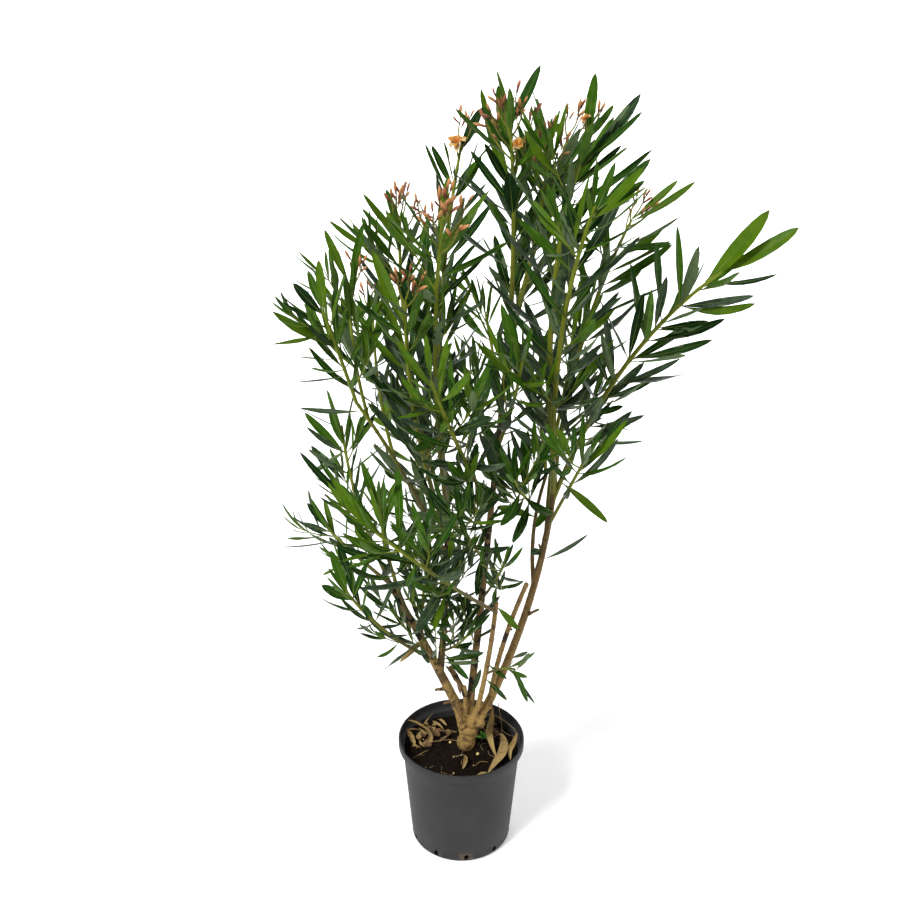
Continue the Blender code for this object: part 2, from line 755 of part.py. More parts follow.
def placed_leaf(space, name, stem, share, turn, spread, length):
    """The object of one leaf set on the stem, or None where it finds no free place."""
    heading = stem.heading(share)
    base = stem.point(share) - heading * stem.radius(share) * LEAF_SUNK
    start = heading.orthogonal().normalized()
    droop = DROOP * spread / math.radians(60)
    for nudge, scale in LEAF_TRIES:
        outwards = Matrix.Rotation(turn + math.radians(nudge), 3, heading) @ start
        along = (heading * math.cos(spread) + outwards * math.sin(spread)).normalized()
        side = heading.cross(outwards).normalized()
        size = length * scale
        sizes = (base, along, side, size, size * LEAF_WIDTH_RATIO, LEAF_THICKNESS, droop)
        middle = base + along * size / 2
        whole = tree_of_blade(*sizes, clear=LEAF_CLEAR)
        outer = tree_of_blade(*sizes, start=LEAF_OUTER, clear=LEAF_CLEAR)
        kept = space.own(name, base + along * size * LEAF_HEART)
        if kept and space.free(name, middle, size / 2, whole, outer):
            space.leaves[name].append((middle, size / 2, tree_of_blade(*sizes)))
            return mesh_from_bmesh("leaf", blade(*sizes))
    return None


def whorl_shares(stem, leafy, first):
    """How far along the stem its whorls stand, from the tip down, closer together near the tip."""
    back, gap = first, WHORL_SPACING * WHORL_CLOSEST
    while back < stem.length * leafy:
        yield 1 - back / stem.length
        back += gap
        gap = min(gap * WHORL_OPENING, WHORL_SPACING)


def leaves_on(space, name, stem, leafy, full, widest, turn, first, rng):
    """Meshes of the whorls along one stem."""
    found = []
    for i, share in enumerate(whorl_shares(stem, leafy, first)):
        spread = min(TIP_SPREAD + i * SPREAD_RISE, widest)
        age = min(1.0, YOUNG_LEAF + LEAF_GROWTH * i)
        for j in range(LEAF_COUNT):
            around = turn + i * math.pi / LEAF_COUNT + j * 2 * math.pi / LEAF_COUNT
            around += rng.uniform(-TURN_JITTER, TURN_JITTER)
            tilt = spread + rng.uniform(-SPREAD_JITTER, SPREAD_JITTER)
            length = full * age * rng.uniform(*LEAF_SIZES)
            mesh = placed_leaf(space, name, stem, share, around, tilt, length)
            if mesh:
                found.append(mesh)
    return found


def twig_axis(foot, along, bow, length):
    return Axis(foot, foot + along * length, bow, TWIG_RADIUS, SHOOT_TIP_RADIUS, SHOOT_STEP)


def side_twigs(space, name, lead, shoot, rng):
    """Axes of the shoot's side twigs, each turned on until it stands free."""
    twigs = []
    for i in range(shoot.twigs):
        share = TWIG_HIGHEST - TWIG_SPACING * i + rng.uniform(-TWIG_JITTER, TWIG_JITTER)
        length = TWIG_LENGTH * rng.uniform(*TWIG_SIZES)
        heading, foot = lead.heading(share), lead.point(share)
        for attempt in range(TWIG_TRIES):
            turn = math.radians(shoot.turn) + GOLDEN_TURN * (i + attempt + 1)
            outwards = Matrix.Rotation(turn, 3, heading) @ heading.orthogonal().normalized()
            along = heading * math.cos(TWIG_ANGLE) + outwards * math.sin(TWIG_ANGLE)
            twig = twig_axis(foot, along, outwards * TWIG_BOW * length, length)
            outer_twig = twig_axis(twig.point(TWIG_OUTER), along, (0, 0, 0), length)
            outer = tree_of(tube_mesh(outer_twig, LEAF_CLEAR))
            if space.own(name, twig.tip) and space.free(name, twig.point(0.5), length, outer, outer):
                space.add_stem(name, twig)
                twigs.append(twig)
                break
    return twigs


def blossom(space, name, lead, shoot, rng):
    """Meshes of the buds at the shoot's tip, each one with its tapering stalk, and of its faded flowers."""
    found = []
    heading, tip = lead.heading(1.0), lead.tip
    start = heading.orthogonal().normalized()
    for i in range(shoot.buds + shoot.flowers):
        faded = i >= shoot.buds
        turn = GOLDEN_TURN * i + rng.uniform(-BLOSSOM_JITTER, BLOSSOM_JITTER)
        outwards = Matrix.Rotation(turn, 3, heading) @ start
        opening = BUD_INNER + (1 - BUD_INNER) * i / max(1, shoot.buds - 1)
        spread = FLOWER_SPREAD if faded else BUD_SPREAD * opening
        along = heading * math.cos(spread) + outwards * math.sin(spread)
        if faded:
            bm = bmesh.new()
            place = Matrix.Translation(tip + along * FLOWER_RADIUS * FLOWER_SUNK)
            bmesh.ops.create_icosphere(bm, subdivisions=1, radius=FLOWER_RADIUS, matrix=place)
            tree, reach = BVHTree.FromBMesh(bm), 2 * FLOWER_RADIUS
            found.append(mesh_from_bmesh("flower", bm))
        else:
            reach = BUD_REACH * rng.uniform(*BUD_SIZES)
            foot = tip - heading * BUD_STAGGER * (1 + i % 3)
            sizes = (foot, along, heading.cross(outwards).normalized(), reach, BUD_WIDTH, BUD_WIDTH)
            tree = tree_of_blade(*sizes, widest=BUD_WIDEST)
            found.append(mesh_from_bmesh("bud", blade(*sizes, widest=BUD_WIDEST)))
        space.leaves[name].append((tip, reach, tree))
    return found


# ---------------------------------------------------------------------------------------------------------
# Masses of foliage
# ---------------------------------------------------------------------------------------------------------


def build_mass(collection, space, limbs, name, shoot):
    """One shoot's stem, twigs, blossom and leaves in one body, cut clear of the limb it grows from."""
    rng = random.Random(name)
    lead = space.leads[name]
    first = BELOW_BLOSSOM if shoot.buds else BELOW_TIP
    widest, turn = math.radians(shoot.spread), math.radians(shoot.turn)
    pieces = blossom(space, name, lead, shoot, rng)
    twigs = side_twigs(space, name, lead, shoot, rng)
    pieces += leaves_on(space, name, lead, shoot.leafy, shoot.leaf, widest, turn, first, rng)
    for twig in twigs:
        pieces.append(tube_mesh(twig))
        full = shoot.leaf * TWIG_LEAF
        pieces += leaves_on(space, name, twig, TWIG_LEAFY, full, widest, turn, BELOW_TIP, rng)
    joined = new_collection(name + "_pieces")
    for i, mesh in enumerate(pieces):
        add_object(f"{name}_{i}", mesh, joined)
    mass = add_object(name, tube_mesh(lead), collection, "leaf_green")
    boolean(mass, "UNION", joined, MASS_SOLVER)
    apply_modifiers(mass)
    remove_objects(joined.objects)
    bpy.data.collections.remove(joined)
    cut_clear(mass, lead, limbs, MASS_SOLVER)


def build_masses(collection, axes):
    space = Space(axes.values())
    for name, shoot in SHOOTS.items():
        foot = foot_on(axes[shoot.parent], shoot.along)
        space.add_lead(name, Axis(foot, shoot.tip, shoot.bow, shoot.radius, SHOOT_TIP_RADIUS, SHOOT_STEP))
    for name, shoot in SHOOTS.items():
        build_mass(collection, space, axes.values(), name, shoot)


def main():
    clear_scene()
    collection = new_collection("potted_oleander")
    new_collection("helpers")
    build_pot(collection)
    build_soil(collection)
    axes = knuckle_axes()
    build_root_crown(collection, axes)
    build_limbs(collection, axes)
    build_masses(collection, axes)


main()
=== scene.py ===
"""Potted oleander: the finished plant, its pot and its compost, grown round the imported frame.

The stems, boughs and leading shoots follow the frame's own curves. Each shoot then bears what the frame
leaves out: finer twigs, every whorl of leaves, clusters of buds and faded flowers.
"""

import json
import logging
import math
from collections.abc import Iterable, Iterator, Sequence
from dataclasses import dataclass, field
from enum import Enum
from random import Random

import bmesh
import bpy
import numpy as np
from mathutils import Matrix, Vector, noise
from mathutils.bvhtree import BVHTree
from mathutils.kdtree import KDTree

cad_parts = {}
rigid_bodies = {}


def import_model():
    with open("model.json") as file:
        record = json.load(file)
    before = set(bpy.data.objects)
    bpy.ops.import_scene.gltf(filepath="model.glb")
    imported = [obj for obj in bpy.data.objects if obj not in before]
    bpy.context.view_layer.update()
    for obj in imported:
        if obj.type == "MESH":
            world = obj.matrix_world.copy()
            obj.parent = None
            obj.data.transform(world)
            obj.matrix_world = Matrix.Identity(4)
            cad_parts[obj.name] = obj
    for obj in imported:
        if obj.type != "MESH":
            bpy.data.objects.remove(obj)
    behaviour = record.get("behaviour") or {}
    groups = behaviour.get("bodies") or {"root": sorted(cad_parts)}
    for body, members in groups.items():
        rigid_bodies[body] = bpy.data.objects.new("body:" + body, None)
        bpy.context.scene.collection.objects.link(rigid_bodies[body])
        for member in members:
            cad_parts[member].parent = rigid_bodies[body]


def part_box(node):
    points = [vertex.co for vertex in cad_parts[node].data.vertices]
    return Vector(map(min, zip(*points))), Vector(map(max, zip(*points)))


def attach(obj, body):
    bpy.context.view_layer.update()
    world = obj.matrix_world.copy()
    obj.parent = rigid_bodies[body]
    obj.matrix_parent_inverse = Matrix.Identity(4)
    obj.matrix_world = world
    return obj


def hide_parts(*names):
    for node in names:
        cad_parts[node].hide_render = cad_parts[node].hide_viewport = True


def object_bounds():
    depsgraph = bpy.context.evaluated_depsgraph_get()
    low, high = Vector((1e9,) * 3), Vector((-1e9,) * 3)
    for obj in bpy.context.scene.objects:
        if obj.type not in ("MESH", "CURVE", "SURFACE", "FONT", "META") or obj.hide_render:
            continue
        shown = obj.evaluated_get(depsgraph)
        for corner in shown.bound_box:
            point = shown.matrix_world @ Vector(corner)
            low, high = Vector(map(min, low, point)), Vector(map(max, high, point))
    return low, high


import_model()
CAD_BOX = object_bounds()

Array, BMesh, Object = np.ndarray, bmesh.types.BMesh, bpy.types.Object
Triple = tuple[float, float, float]
Stops = Sequence[tuple[float, Triple]]

log = logging.getLogger("potted_oleander")

GOLDEN_TURN = math.radians(137.5)
SOIL_TOP = 0.210


# --- Shader sheets ---


def rgba(colour: Triple) -> tuple[float, float, float, float]:
    """The colour with full opacity."""
    return (*colour, 1.0)


class Pin:
    """A node's output, with the arithmetic that shader sums need."""

    def __init__(self, sheet: "Sheet", socket: bpy.types.NodeSocket) -> None:
        """Holds the output of a node on the sheet."""
        self.sheet, self.socket = sheet, socket

    def __add__(self, other: "Pin | float") -> "Pin":
        """The sum."""
        return self.sheet.math("ADD", self, other)

    def __sub__(self, other: "Pin | float") -> "Pin":
        """The difference."""
        return self.sheet.math("SUBTRACT", self, other)

    def __rsub__(self, other: float) -> "Pin":
        """The difference from a plain number."""
        return self.sheet.math("SUBTRACT", other, self)

    def __mul__(self, other: "Pin | float") -> "Pin":
        """The product."""
        return self.sheet.math("MULTIPLY", self, other)

    __radd__ = __add__
    __rmul__ = __mul__


class Sheet:
    """One material's node tree, with its Principled shader."""

    def __init__(self, name: str) -> None:
        """Makes the material.

        Args:
            name: The material's name.
        """
        self.material = bpy.data.materials.new(name)
        self.material.use_nodes = True
        self.tree = self.material.node_tree
        self.shader = self.tree.nodes["Principled BSDF"]

    def node(self, kind: str, settings: dict | None = None, inputs: dict | None = None, output: int | str = 0) -> Pin:
        """Adds a node.

        Args:
            kind: The node's type.
            settings: Its properties, or a ramp's stops, which are set first.
            inputs: Values or pins for its sockets, by name or number.
            output: Which of its outputs is wanted.

        Returns:
            The output's pin.
        """
        made = self.tree.nodes.new(kind)
        for name, value in (settings or {}).items():
            if name == "stops":
                self._set_stops(made.color_ramp, value)
            else:
                setattr(made, name, value)
        for socket, value in (inputs or {}).items():
            self.feed(made.inputs[socket], value)
        return Pin(self, made.outputs[output])

    @staticmethod
    def _set_stops(ramp: bpy.types.ColorRamp, stops: Stops) -> None:
        """Gives the ramp these stops.

        Args:
            ramp: The ramp of a new node.
            stops: Places from 0 to 1, with their colours.
        """
        while len(ramp.elements) < len(stops):
            ramp.elements.new(1.0)
        for element, (place, colour) in zip(ramp.elements, stops):
            element.position = place
            element.color = rgba(colour)

    def feed(self, socket: bpy.types.NodeSocket, value: "Pin | float | Sequence[float]") -> None:
        """Links a pin to the socket, or sets its value.

        Args:
            socket: The socket to fill.
            value: The pin or the plain value.
        """
        if isinstance(value, Pin):
            self.tree.links.new(value.socket, socket)
        else:
            socket.default_value = value

    def set(self, **values: "Pin | float | Sequence[float]") -> None:
        """Feeds the shader's sockets, named with underscores for spaces."""
        for name, value in values.items():
            self.feed(self.shader.inputs[name.replace("_", " ")], value)

    def math(self, operation: str, first: "Pin | float", second: "Pin | float") -> Pin:
        """A Math node's result."""
        return self.node("ShaderNodeMath", {"operation": operation}, {0: first, 1: second})

    def place(self) -> Pin:
        """The position on the object, in metres."""
        return self.node("ShaderNodeTexCoord", output="Object")

    def axis(self, name: str) -> Pin:
        """One coordinate, X, Y or Z, of the position."""
        return self.node("ShaderNodeSeparateXYZ", inputs={0: self.place()}, output=name)

    def attribute(self, name: str) -> Pin:
        """A number that the mesh holds for each point."""
        return self.node("ShaderNodeAttribute", {"attribute_name": name}, output="Fac")

    def noise(self, scale: float, detail: float = 3.0, roughness: float = 0.55, where: Pin | None = None) -> Pin:
        """Cloudy noise from 0 to 1, with features of about one over the scale, in metres."""
        inputs = {"Vector": where or self.place(), "Scale": scale, "Detail": detail, "Roughness": roughness}
        return self.node("ShaderNodeTexNoise", inputs=inputs)

    def stretched(self, scale: Triple) -> Pin:
        """The position, scaled along each axis, for a noise that runs along a grain."""
        return self.node("ShaderNodeMapping", inputs={"Vector": self.place(), "Scale": scale})

    def between(self, value: Pin, low: float, high: float) -> Pin:
        """0 where the value is under low, rising smoothly to 1 at high."""
        settings = {"interpolation_type": "SMOOTHSTEP"}
        return self.node("ShaderNodeMapRange", settings, {"Value": value, "From Min": low, "From Max": high})

    def mix(self, share: "Pin | float", first: "Pin | Triple", second: "Pin | Triple") -> Pin:
        """The first colour, turning to the second as the share rises.

        Args:
            share: How much of the second colour shows.
            first: The colour at 0.
            second: The colour at 1.

        Returns:
            The mixed colour.
        """
        colours = [c if isinstance(c, Pin) else rgba(c) for c in (first, second)]
        inputs = {"Factor": share, 6: colours[0], 7: colours[1]}
        return self.node("ShaderNodeMix", {"data_type": "RGBA"}, inputs, output=2)

    def ramp(self, share: Pin, stops: Stops) -> Pin:
        """A colour ramp's result."""
        return self.node("ShaderNodeValToRGB", {"stops": stops}, {0: share})

    def dress(self, colour: Pin, roughness: Pin, height: Pin, strength: float, depth: float, gloss: float) -> None:
        """Feeds the shader its colour, its roughness, a bump of that height, strength and depth, and its gloss."""
        bump = self.node("ShaderNodeBump", inputs={"Height": height, "Strength": strength, "Distance": depth})
        self.set(Base_Color=colour, Roughness=roughness, Normal=bump, Specular_IOR_Level=gloss)


# --- Finishes ---


@dataclass(frozen=True)
class Finish:
    """A named surface. Each kind paints its own sheet."""

    name: str

    def paint(self, sheet: Sheet) -> None:
        """Fills in the sheet."""
        raise NotImplementedError

    def material(self) -> bpy.types.Material:
        """The finish as a material, made on first use.

        Returns:
            The material.
        """
        if self.name not in bpy.data.materials:
            self.paint(Sheet(self.name))
        return bpy.data.materials[self.name]


@dataclass(frozen=True)
class PotPlastic(Finish):
    """Dull charcoal plastic with a moulded grain, scuffs, and dirt round its foot."""

    dark: Triple = (0.0215, 0.0215, 0.0222)
    pale: Triple = (0.0295, 0.0295, 0.0302)
    scuff: Triple = (0.058, 0.057, 0.055)
    dirt: Triple = (0.092, 0.066, 0.044)
    splash: float = 0.010

    def paint(self, sheet: Sheet) -> None:
        """Mottled plastic, scuffed here and there and dirty near the floor.

        Args:
            sheet: The pot's sheet.
        """
        height = sheet.axis("Z")
        cloud = sheet.noise(14, 4)
        body = sheet.mix(sheet.between(cloud, 0.35, 0.68), self.dark, self.pale)
        scratches = sheet.noise(1, 5, 0.7, sheet.stretched((60, 60, 260)))
        body = sheet.mix(sheet.between(scratches, 0.64, 0.78) * 0.5, body, self.scuff)
        low = 1 - sheet.between(height, 0.004, 0.034)
        soiled = low * sheet.between(sheet.noise(46, 5, 0.65), 0.50, 0.66)
        body = sheet.mix(soiled, body, self.dirt)
        beside = 1 - sheet.between(sheet.math("ABSOLUTE", sheet.axis("X") - self.splash, 0.0), 0.009, 0.019)
        facing = beside * sheet.between(sheet.axis("Y"), -0.05, -0.08) * (1 - sheet.between(height, 0.014, 0.030))
        body = sheet.mix(facing * sheet.between(sheet.noise(230, 4, 0.7), 0.40, 0.56), body, self.dirt)
        grain = sheet.noise(1500, 2)
        sheet.dress(body, 0.52 + cloud * 0.14 + soiled * 0.2, grain + scratches * 0.6, 0.22, 0.0004, 0.24)


@dataclass(frozen=True)
class Crumbly(Finish):
    """Damp dark compost with fibres and paler specks."""

    dark: Triple = (0.0040, 0.0024, 0.0015)
    middle: Triple = (0.0125, 0.0072, 0.0042)
    pale: Triple = (0.070, 0.044, 0.022)

    def paint(self, sheet: Sheet) -> None:
        """Dark clods with lighter bits.

        Args:
            sheet: The compost's sheet.
        """
        clods = sheet.noise(150, 6, 0.7)
        fibres = sheet.noise(1, 4, 0.6, sheet.stretched((900, 300, 500)))
        body = sheet.ramp(clods, ((0.36, self.dark), (0.56, self.middle), (0.63, self.dark)))
        body = sheet.mix(sheet.between(fibres, 0.66, 0.74), body, self.pale)
        sheet.dress(body, 0.98 - clods * 0.2, clods + fibres * 0.4, 0.9, 0.0016, 0.07)


@dataclass(frozen=True)
class Bark(Finish):
    """Bark that ages from yellow-green skin through mottled brown to dry tan."""

    stops: Stops = (
        (0.00, (0.170, 0.215, 0.011)),
        (0.14, (0.165, 0.180, 0.011)),
        (0.30, (0.084, 0.074, 0.015)),
        (0.50, (0.118, 0.072, 0.025)),
        (0.68, (0.190, 0.116, 0.040)),
        (0.84, (0.255, 0.158, 0.048)),
        (1.00, (0.315, 0.196, 0.056)),
    )
    soot: Triple = (0.014, 0.011, 0.009)
    streak_and_hollow_shade: Triple = (0.058, 0.034, 0.017)
    flake: Triple = (0.290, 0.215, 0.120)

    def paint(self, sheet: Sheet) -> None:
        """The age's colour, clouded, with sooty patches, dark streaks and pale flakes on old bark, and painted shade in
        the relief's hollows.

        Args:
            sheet: The bark's sheet.
        """
        age = sheet.attribute("age")
        cloud = sheet.noise(34, 4, 0.6)
        grain = sheet.noise(1, 5, 0.65, sheet.stretched((420, 420, 80)))
        body = sheet.ramp(age + (cloud - 0.5) * 0.24, self.stops)
        old = sheet.between(age, 0.30, 0.55)
        body = sheet.mix(old * sheet.between(grain, 0.52, 0.66) * 0.6, body, self.streak_and_hollow_shade)
        body = sheet.mix(old * sheet.between(grain, 0.50, 0.36) * 0.35, body, self.flake)
        clots = sheet.noise(1, 4, 0.6, sheet.stretched((30, 30, 30))) + (sheet.attribute("soot") - 0.5) * 0.22
        middling = old * (1 - sheet.between(age, 0.74, 0.98) * 0.75)
        body = sheet.mix(sheet.between(clots, 0.54, 0.61) * middling, body, self.soot)
        # Painted shade: the bark darkens where its relief sinks, in furrows and between the crown's lobes.
        hollow = sheet.attribute("hollow")
        body = sheet.mix(sheet.between(hollow, 0.15, 0.95) * 0.7, body, self.streak_and_hollow_shade)
        scars = sheet.between(hollow, -0.28, -0.44) * (1 - sheet.between(age, 0.94, 1.0))
        body = sheet.mix(scars * 0.7, body, self.soot)
        sheet.dress(body, 0.50 + old * 0.32 + grain * 0.08, grain * (0.25 + old), 0.65, 0.0011, 0.25)


@dataclass(frozen=True)
class LeafSkin(Finish):
    """A leathery leaf face with close-set side veins and a waxy gloss."""

    colour: Triple
    second: Triple
    roughness: float = 0.40
    gloss: float = 0.06
    vein: float = 0.10
    scorch: Triple = (0.050, 0.036, 0.016)
    veins_per_metre: float = 620.0
    slant: float = 0.35

    def paint(self, sheet: Sheet) -> None:
        """Two near tones in clouds, lightly veined towards the margins.

        Args:
            sheet: The leaf face's sheet.
        """
        cloud = sheet.noise(75, 4, 0.6)
        fine = sheet.noise(700, 2, 0.5)
        where = sheet.node("ShaderNodeUVMap", {"uv_map": "blade"})
        along, across = (sheet.node("ShaderNodeSeparateXYZ", inputs={0: where}, output=axis) for axis in "XY")
        turns = (along - sheet.math("ABSOLUTE", across, 0.0) * self.slant) * (self.veins_per_metre * 2 * math.pi)
        veins = sheet.math("SINE", turns, 0.0) * 0.5 + 0.5
        body = sheet.mix(sheet.between(cloud, 0.34, 0.66), self.colour, self.second)
        body = sheet.mix(veins * self.vein, body, tuple(min(1.0, c * 1.5) for c in self.second))
        scorched = sheet.between(sheet.attribute("age") + (cloud - 0.5) * 0.12, 0.93, 1.0)
        body = sheet.mix(scorched * 0.65, body, self.scorch)
        sheet.dress(body, self.roughness + (fine - 0.5) * 0.16, veins * 0.5 + fine * 0.5, 0.16, 0.0004, self.gloss)


@dataclass(frozen=True)
class Tissue(Finish):
    """Soft plant tissue that turns from one tone at its foot to another at its tip."""

    foot: Triple
    tip: Triple
    blotch: Triple
    roughness: float = 0.55
    grain: float = 320.0
    blotched: float = 0.35

    def paint(self, sheet: Sheet) -> None:
        """The two tones, blotched, with a fine wrinkled grain.

        Args:
            sheet: The tissue's sheet.
        """
        cloud = sheet.noise(self.grain, 4, 0.6)
        body = sheet.mix(sheet.between(sheet.attribute("age"), 0.1, 0.9), self.foot, self.tip)
        body = sheet.mix(sheet.between(cloud, 0.50, 0.72) * self.blotched, body, self.blotch)
        sheet.dress(body, self.roughness + (cloud - 0.5) * 0.2, cloud, 0.25, 0.0006, 0.28)


@dataclass(frozen=True)
class StudioFloor(Finish):
    """A plain pale floor with the faintest unevenness."""

    pale: Triple = (0.86, 0.86, 0.86)
    paler: Triple = (0.88, 0.88, 0.88)
    glow: float = 0.27

    def paint(self, sheet: Sheet) -> None:
        """Nearly even.

        Args:
            sheet: The floor's sheet.
        """
        cloud = sheet.noise(3, 2)
        sheet.set(
            Base_Color=sheet.mix(cloud, self.pale, self.paler),
            Roughness=0.8 + cloud * 0.05,
            Emission_Color=(1.0, 1.0, 1.0, 1.0),
            Emission_Strength=self.glow,
        )


class Tint(Enum):
    """The upper face of a leaf, from the newest to the oldest and the most shaded; the darker tones are painted shade,
    dealt to leaves low and deep in the crown.
    """

    YOUNG = LeafSkin("leaf_young", (0.054, 0.122, 0.004), (0.080, 0.150, 0.006), 0.42)
    FRESH = LeafSkin("leaf_fresh", (0.026, 0.082, 0.003), (0.041, 0.106, 0.005), 0.42)
    MIDDLE = LeafSkin("leaf_middle", (0.013, 0.048, 0.004), (0.022, 0.068, 0.007), 0.42, 0.07)
    DEEP = LeafSkin("leaf_deep", (0.006, 0.023, 0.004), (0.011, 0.036, 0.007), 0.42, 0.08)
    DUSKY = LeafSkin("leaf_dusky", (0.018, 0.038, 0.018), (0.040, 0.070, 0.036), 0.45, 0.20)


UNDER = LeafSkin("leaf_under", (0.074, 0.118, 0.046), (0.104, 0.152, 0.070), 0.60, 0.12)
UNDER_YOUNG = LeafSkin("leaf_under_young", (0.050, 0.118, 0.012), (0.074, 0.150, 0.020), 0.54)
RIB = Tissue("leaf_rib", (0.150, 0.195, 0.028), (0.060, 0.110, 0.018), (0.090, 0.140, 0.022), 0.46)
LEAF_FINISHES = tuple(tint.value for tint in Tint) + (UNDER, UNDER_YOUNG, RIB)

POT_PLASTIC = PotPlastic("charcoal_plastic")
COMPOST = Crumbly("crumbly_compost")
BARK = Bark("ageing_bark")
BUD_SALMON = Tissue("bud_salmon", (0.270, 0.085, 0.024), (0.620, 0.300, 0.115), (0.320, 0.095, 0.032))
BUD_CORAL = Tissue("bud_coral", (0.120, 0.032, 0.016), (0.400, 0.140, 0.065), (0.170, 0.050, 0.026))
CALYX = Tissue("calyx", (0.110, 0.110, 0.024), (0.090, 0.028, 0.018), (0.065, 0.032, 0.018))
STALK = Tissue("flower_stalk", (0.170, 0.200, 0.016), (0.190, 0.140, 0.030), (0.130, 0.080, 0.024))
PETAL_CREAM = Tissue("petal_cream", (0.560, 0.230, 0.045), (0.640, 0.460, 0.220), (0.520, 0.250, 0.080), 0.6)
PETAL_AMBER = Tissue("petal_amber", (0.480, 0.120, 0.015), (0.620, 0.300, 0.060), (0.340, 0.110, 0.030), 0.6)
DRY_TAN = Tissue("dry_tan", (0.235, 0.150, 0.050), (0.360, 0.250, 0.092), (0.115, 0.066, 0.024), 0.75, 130.0, 0.7)
DRY_BROWN = Tissue("dry_brown", (0.120, 0.062, 0.026), (0.190, 0.110, 0.048), (0.060, 0.034, 0.018), 0.75, 130.0, 0.7)
PALE_ROOT = Tissue("pale_root", (0.460, 0.350, 0.210), (0.330, 0.200, 0.110), (0.250, 0.130, 0.070), 0.7)
GRAIN = Tissue("feed_grain", (0.640, 0.520, 0.210), (0.640, 0.520, 0.210), (0.460, 0.340, 0.120), 0.6)
SPROUT = LeafSkin("sprout_leaf", (0.080, 0.290, 0.020), (0.110, 0.340, 0.030), 0.45)
FLOOR = StudioFloor("pale_floor")


# --- Meshes and lines ---


def mm(*values: float) -> tuple[float, ...]:
    """Millimetres as metres."""
    return tuple(value / 1000 for value in values)


def polar(radius: float, turn: float) -> tuple[float, float]:
    """The level place at that distance and turn from the upright axis."""
    return radius * math.cos(turn), radius * math.sin(turn)


def circle(radius: float, level: float, spokes: int) -> list[Triple]:
    """Places evenly round the upright axis."""
    return [(*polar(radius, math.tau * i / spokes), level) for i in range(spokes)]


def aside(heading: Vector, turn: float) -> Vector:
    """The direction square to the heading at that turn round it."""
    return Matrix.Rotation(turn, 3, heading) @ heading.orthogonal().normalized()


def leant(heading: Vector, outwards: Vector, angle: float) -> Vector:
    """The heading, leant outwards by the angle."""
    return heading * math.cos(angle) + outwards * math.sin(angle)


def unit(vectors: Array) -> Array:
    """The vectors, each of length one."""
    return vectors / np.linalg.norm(vectors, axis=-1, keepdims=True)


def twisted(across: Array, over: Array, turn: Array) -> tuple[Array, Array]:
    """Both directions, turned about the line that they stand across."""
    return across * np.cos(turn) + over * np.sin(turn), over * np.cos(turn) - across * np.sin(turn)


def spread_out(line: Array, across: Array, over: Array, flat: Array, lift: Array) -> Array:
    """Points beside a line, row by row: so far across it and so far over it.

    Args:
        line: The points of the line.
        across: The direction across it, at each of them.
        over: The direction square to both.
        flat: How far across each point lies, row by row.
        lift: How far over each point lies, row by row.

    Returns:
        One row for each point.
    """
    return (line[:, None] + across[:, None] * flat[..., None] + over[:, None] * lift[..., None]).reshape(-1, 3)


def grid_quads(rows: int, columns: int, wrap: bool = False) -> Array:
    """Faces of a grid of points stored row by row.

    Args:
        rows: How many rows of points there are.
        columns: How many points a row has.
        wrap: Whether the last column joins the first.

    Returns:
        One row of four corners for each face.
    """
    row, column = np.meshgrid(np.arange(rows - 1), np.arange(columns if wrap else columns - 1), indexing="ij")
    after = (column + 1) % columns
    corners = (row * columns + column, row * columns + after, (row + 1) * columns + after, (row + 1) * columns + column)
    return np.stack([c.ravel() for c in corners], axis=1)


def tube(line: Array, radii: Array, sides: int) -> tuple[Array, Array]:
    """A tube round a line, open at its ends, whose sides turn as little as they can.

    Args:
        line: The points of its middle, one row each.
        radii: Its radius at each of them.
        sides: How many sides it has.

    Returns:
        Its points and its faces.
    """
    along = unit(np.gradient(line, axis=0))
    side = np.array(Vector(along[0]).orthogonal().normalized())
    across = np.empty_like(line)
    for i, heading in enumerate(along):
        side = unit(side - heading * (side @ heading))
        across[i] = side
    turns = math.tau * np.arange(sides) / sides
    ring = across[:, None] * np.cos(turns)[:, None] + np.cross(along, across)[:, None] * np.sin(turns)[:, None]
    return (line[:, None] + ring * radii[:, None, None]).reshape(-1, 3), grid_quads(len(line), sides, wrap=True)


def route(places: Sequence[Triple], count: int) -> Array:
    """A smooth line through a few places, with as many points as asked.

    Args:
        places: The places, in order.
        count: How many points the line has.

    Returns:
        One row for each point.
    """
    ends = np.array([places[0], *places, places[-1]], float)
    line = []
    for share in np.linspace(0, len(places) - 1 - 1e-6, count):
        index, t = int(share), share % 1
        a, b, c, d = ends[index : index + 4]
        line.append(0.5 * (2 * b + (c - a) * t + (2 * a - 5 * b + 4 * c - d) * t**2 + (3 * b - a - 3 * c + d) * t**3))
    return np.array(line)


def icosphere(subdivisions: int) -> tuple[Array, Array]:
    """Points and faces of a unit ball of triangles.

    Args:
        subdivisions: How fine it is.

    Returns:
        Its points and its faces.
    """
    bm = bmesh.new()
    bmesh.ops.create_icosphere(bm, subdivisions=subdivisions, radius=1.0)
    points = np.array([v.co for v in bm.verts])
    faces = np.array([[v.index for v in f.verts] for f in bm.faces])
    bm.free()
    return points, faces


def search_tree(points: Array, faces: Array) -> BVHTree:
    """The faces, ready for tests of what meets them."""
    return BVHTree.FromPolygons(points.tolist(), faces.tolist())


def write_values(mesh: bpy.types.Mesh, name: str, values: Array) -> None:
    """Stores one value per point under this name."""
    mesh.attributes.new(name, "FLOAT", "POINT").data.foreach_set("value", values.astype(np.float32))


def linked(name: str, data: bpy.types.ID, finish: Finish | None = None) -> Object:
    """An object of the mesh, light or camera, in the finish if one is given, linked to the scene.

    Args:
        name: The object's name.
        data: The mesh, light or camera.
        finish: Its one finish, if it has none yet.

    Returns:
        The object.
    """
    obj = bpy.data.objects.new(name, data)
    if finish:
        data.materials.clear()
        data.materials.append(finish.material())
    bpy.context.scene.collection.objects.link(obj)
    return obj


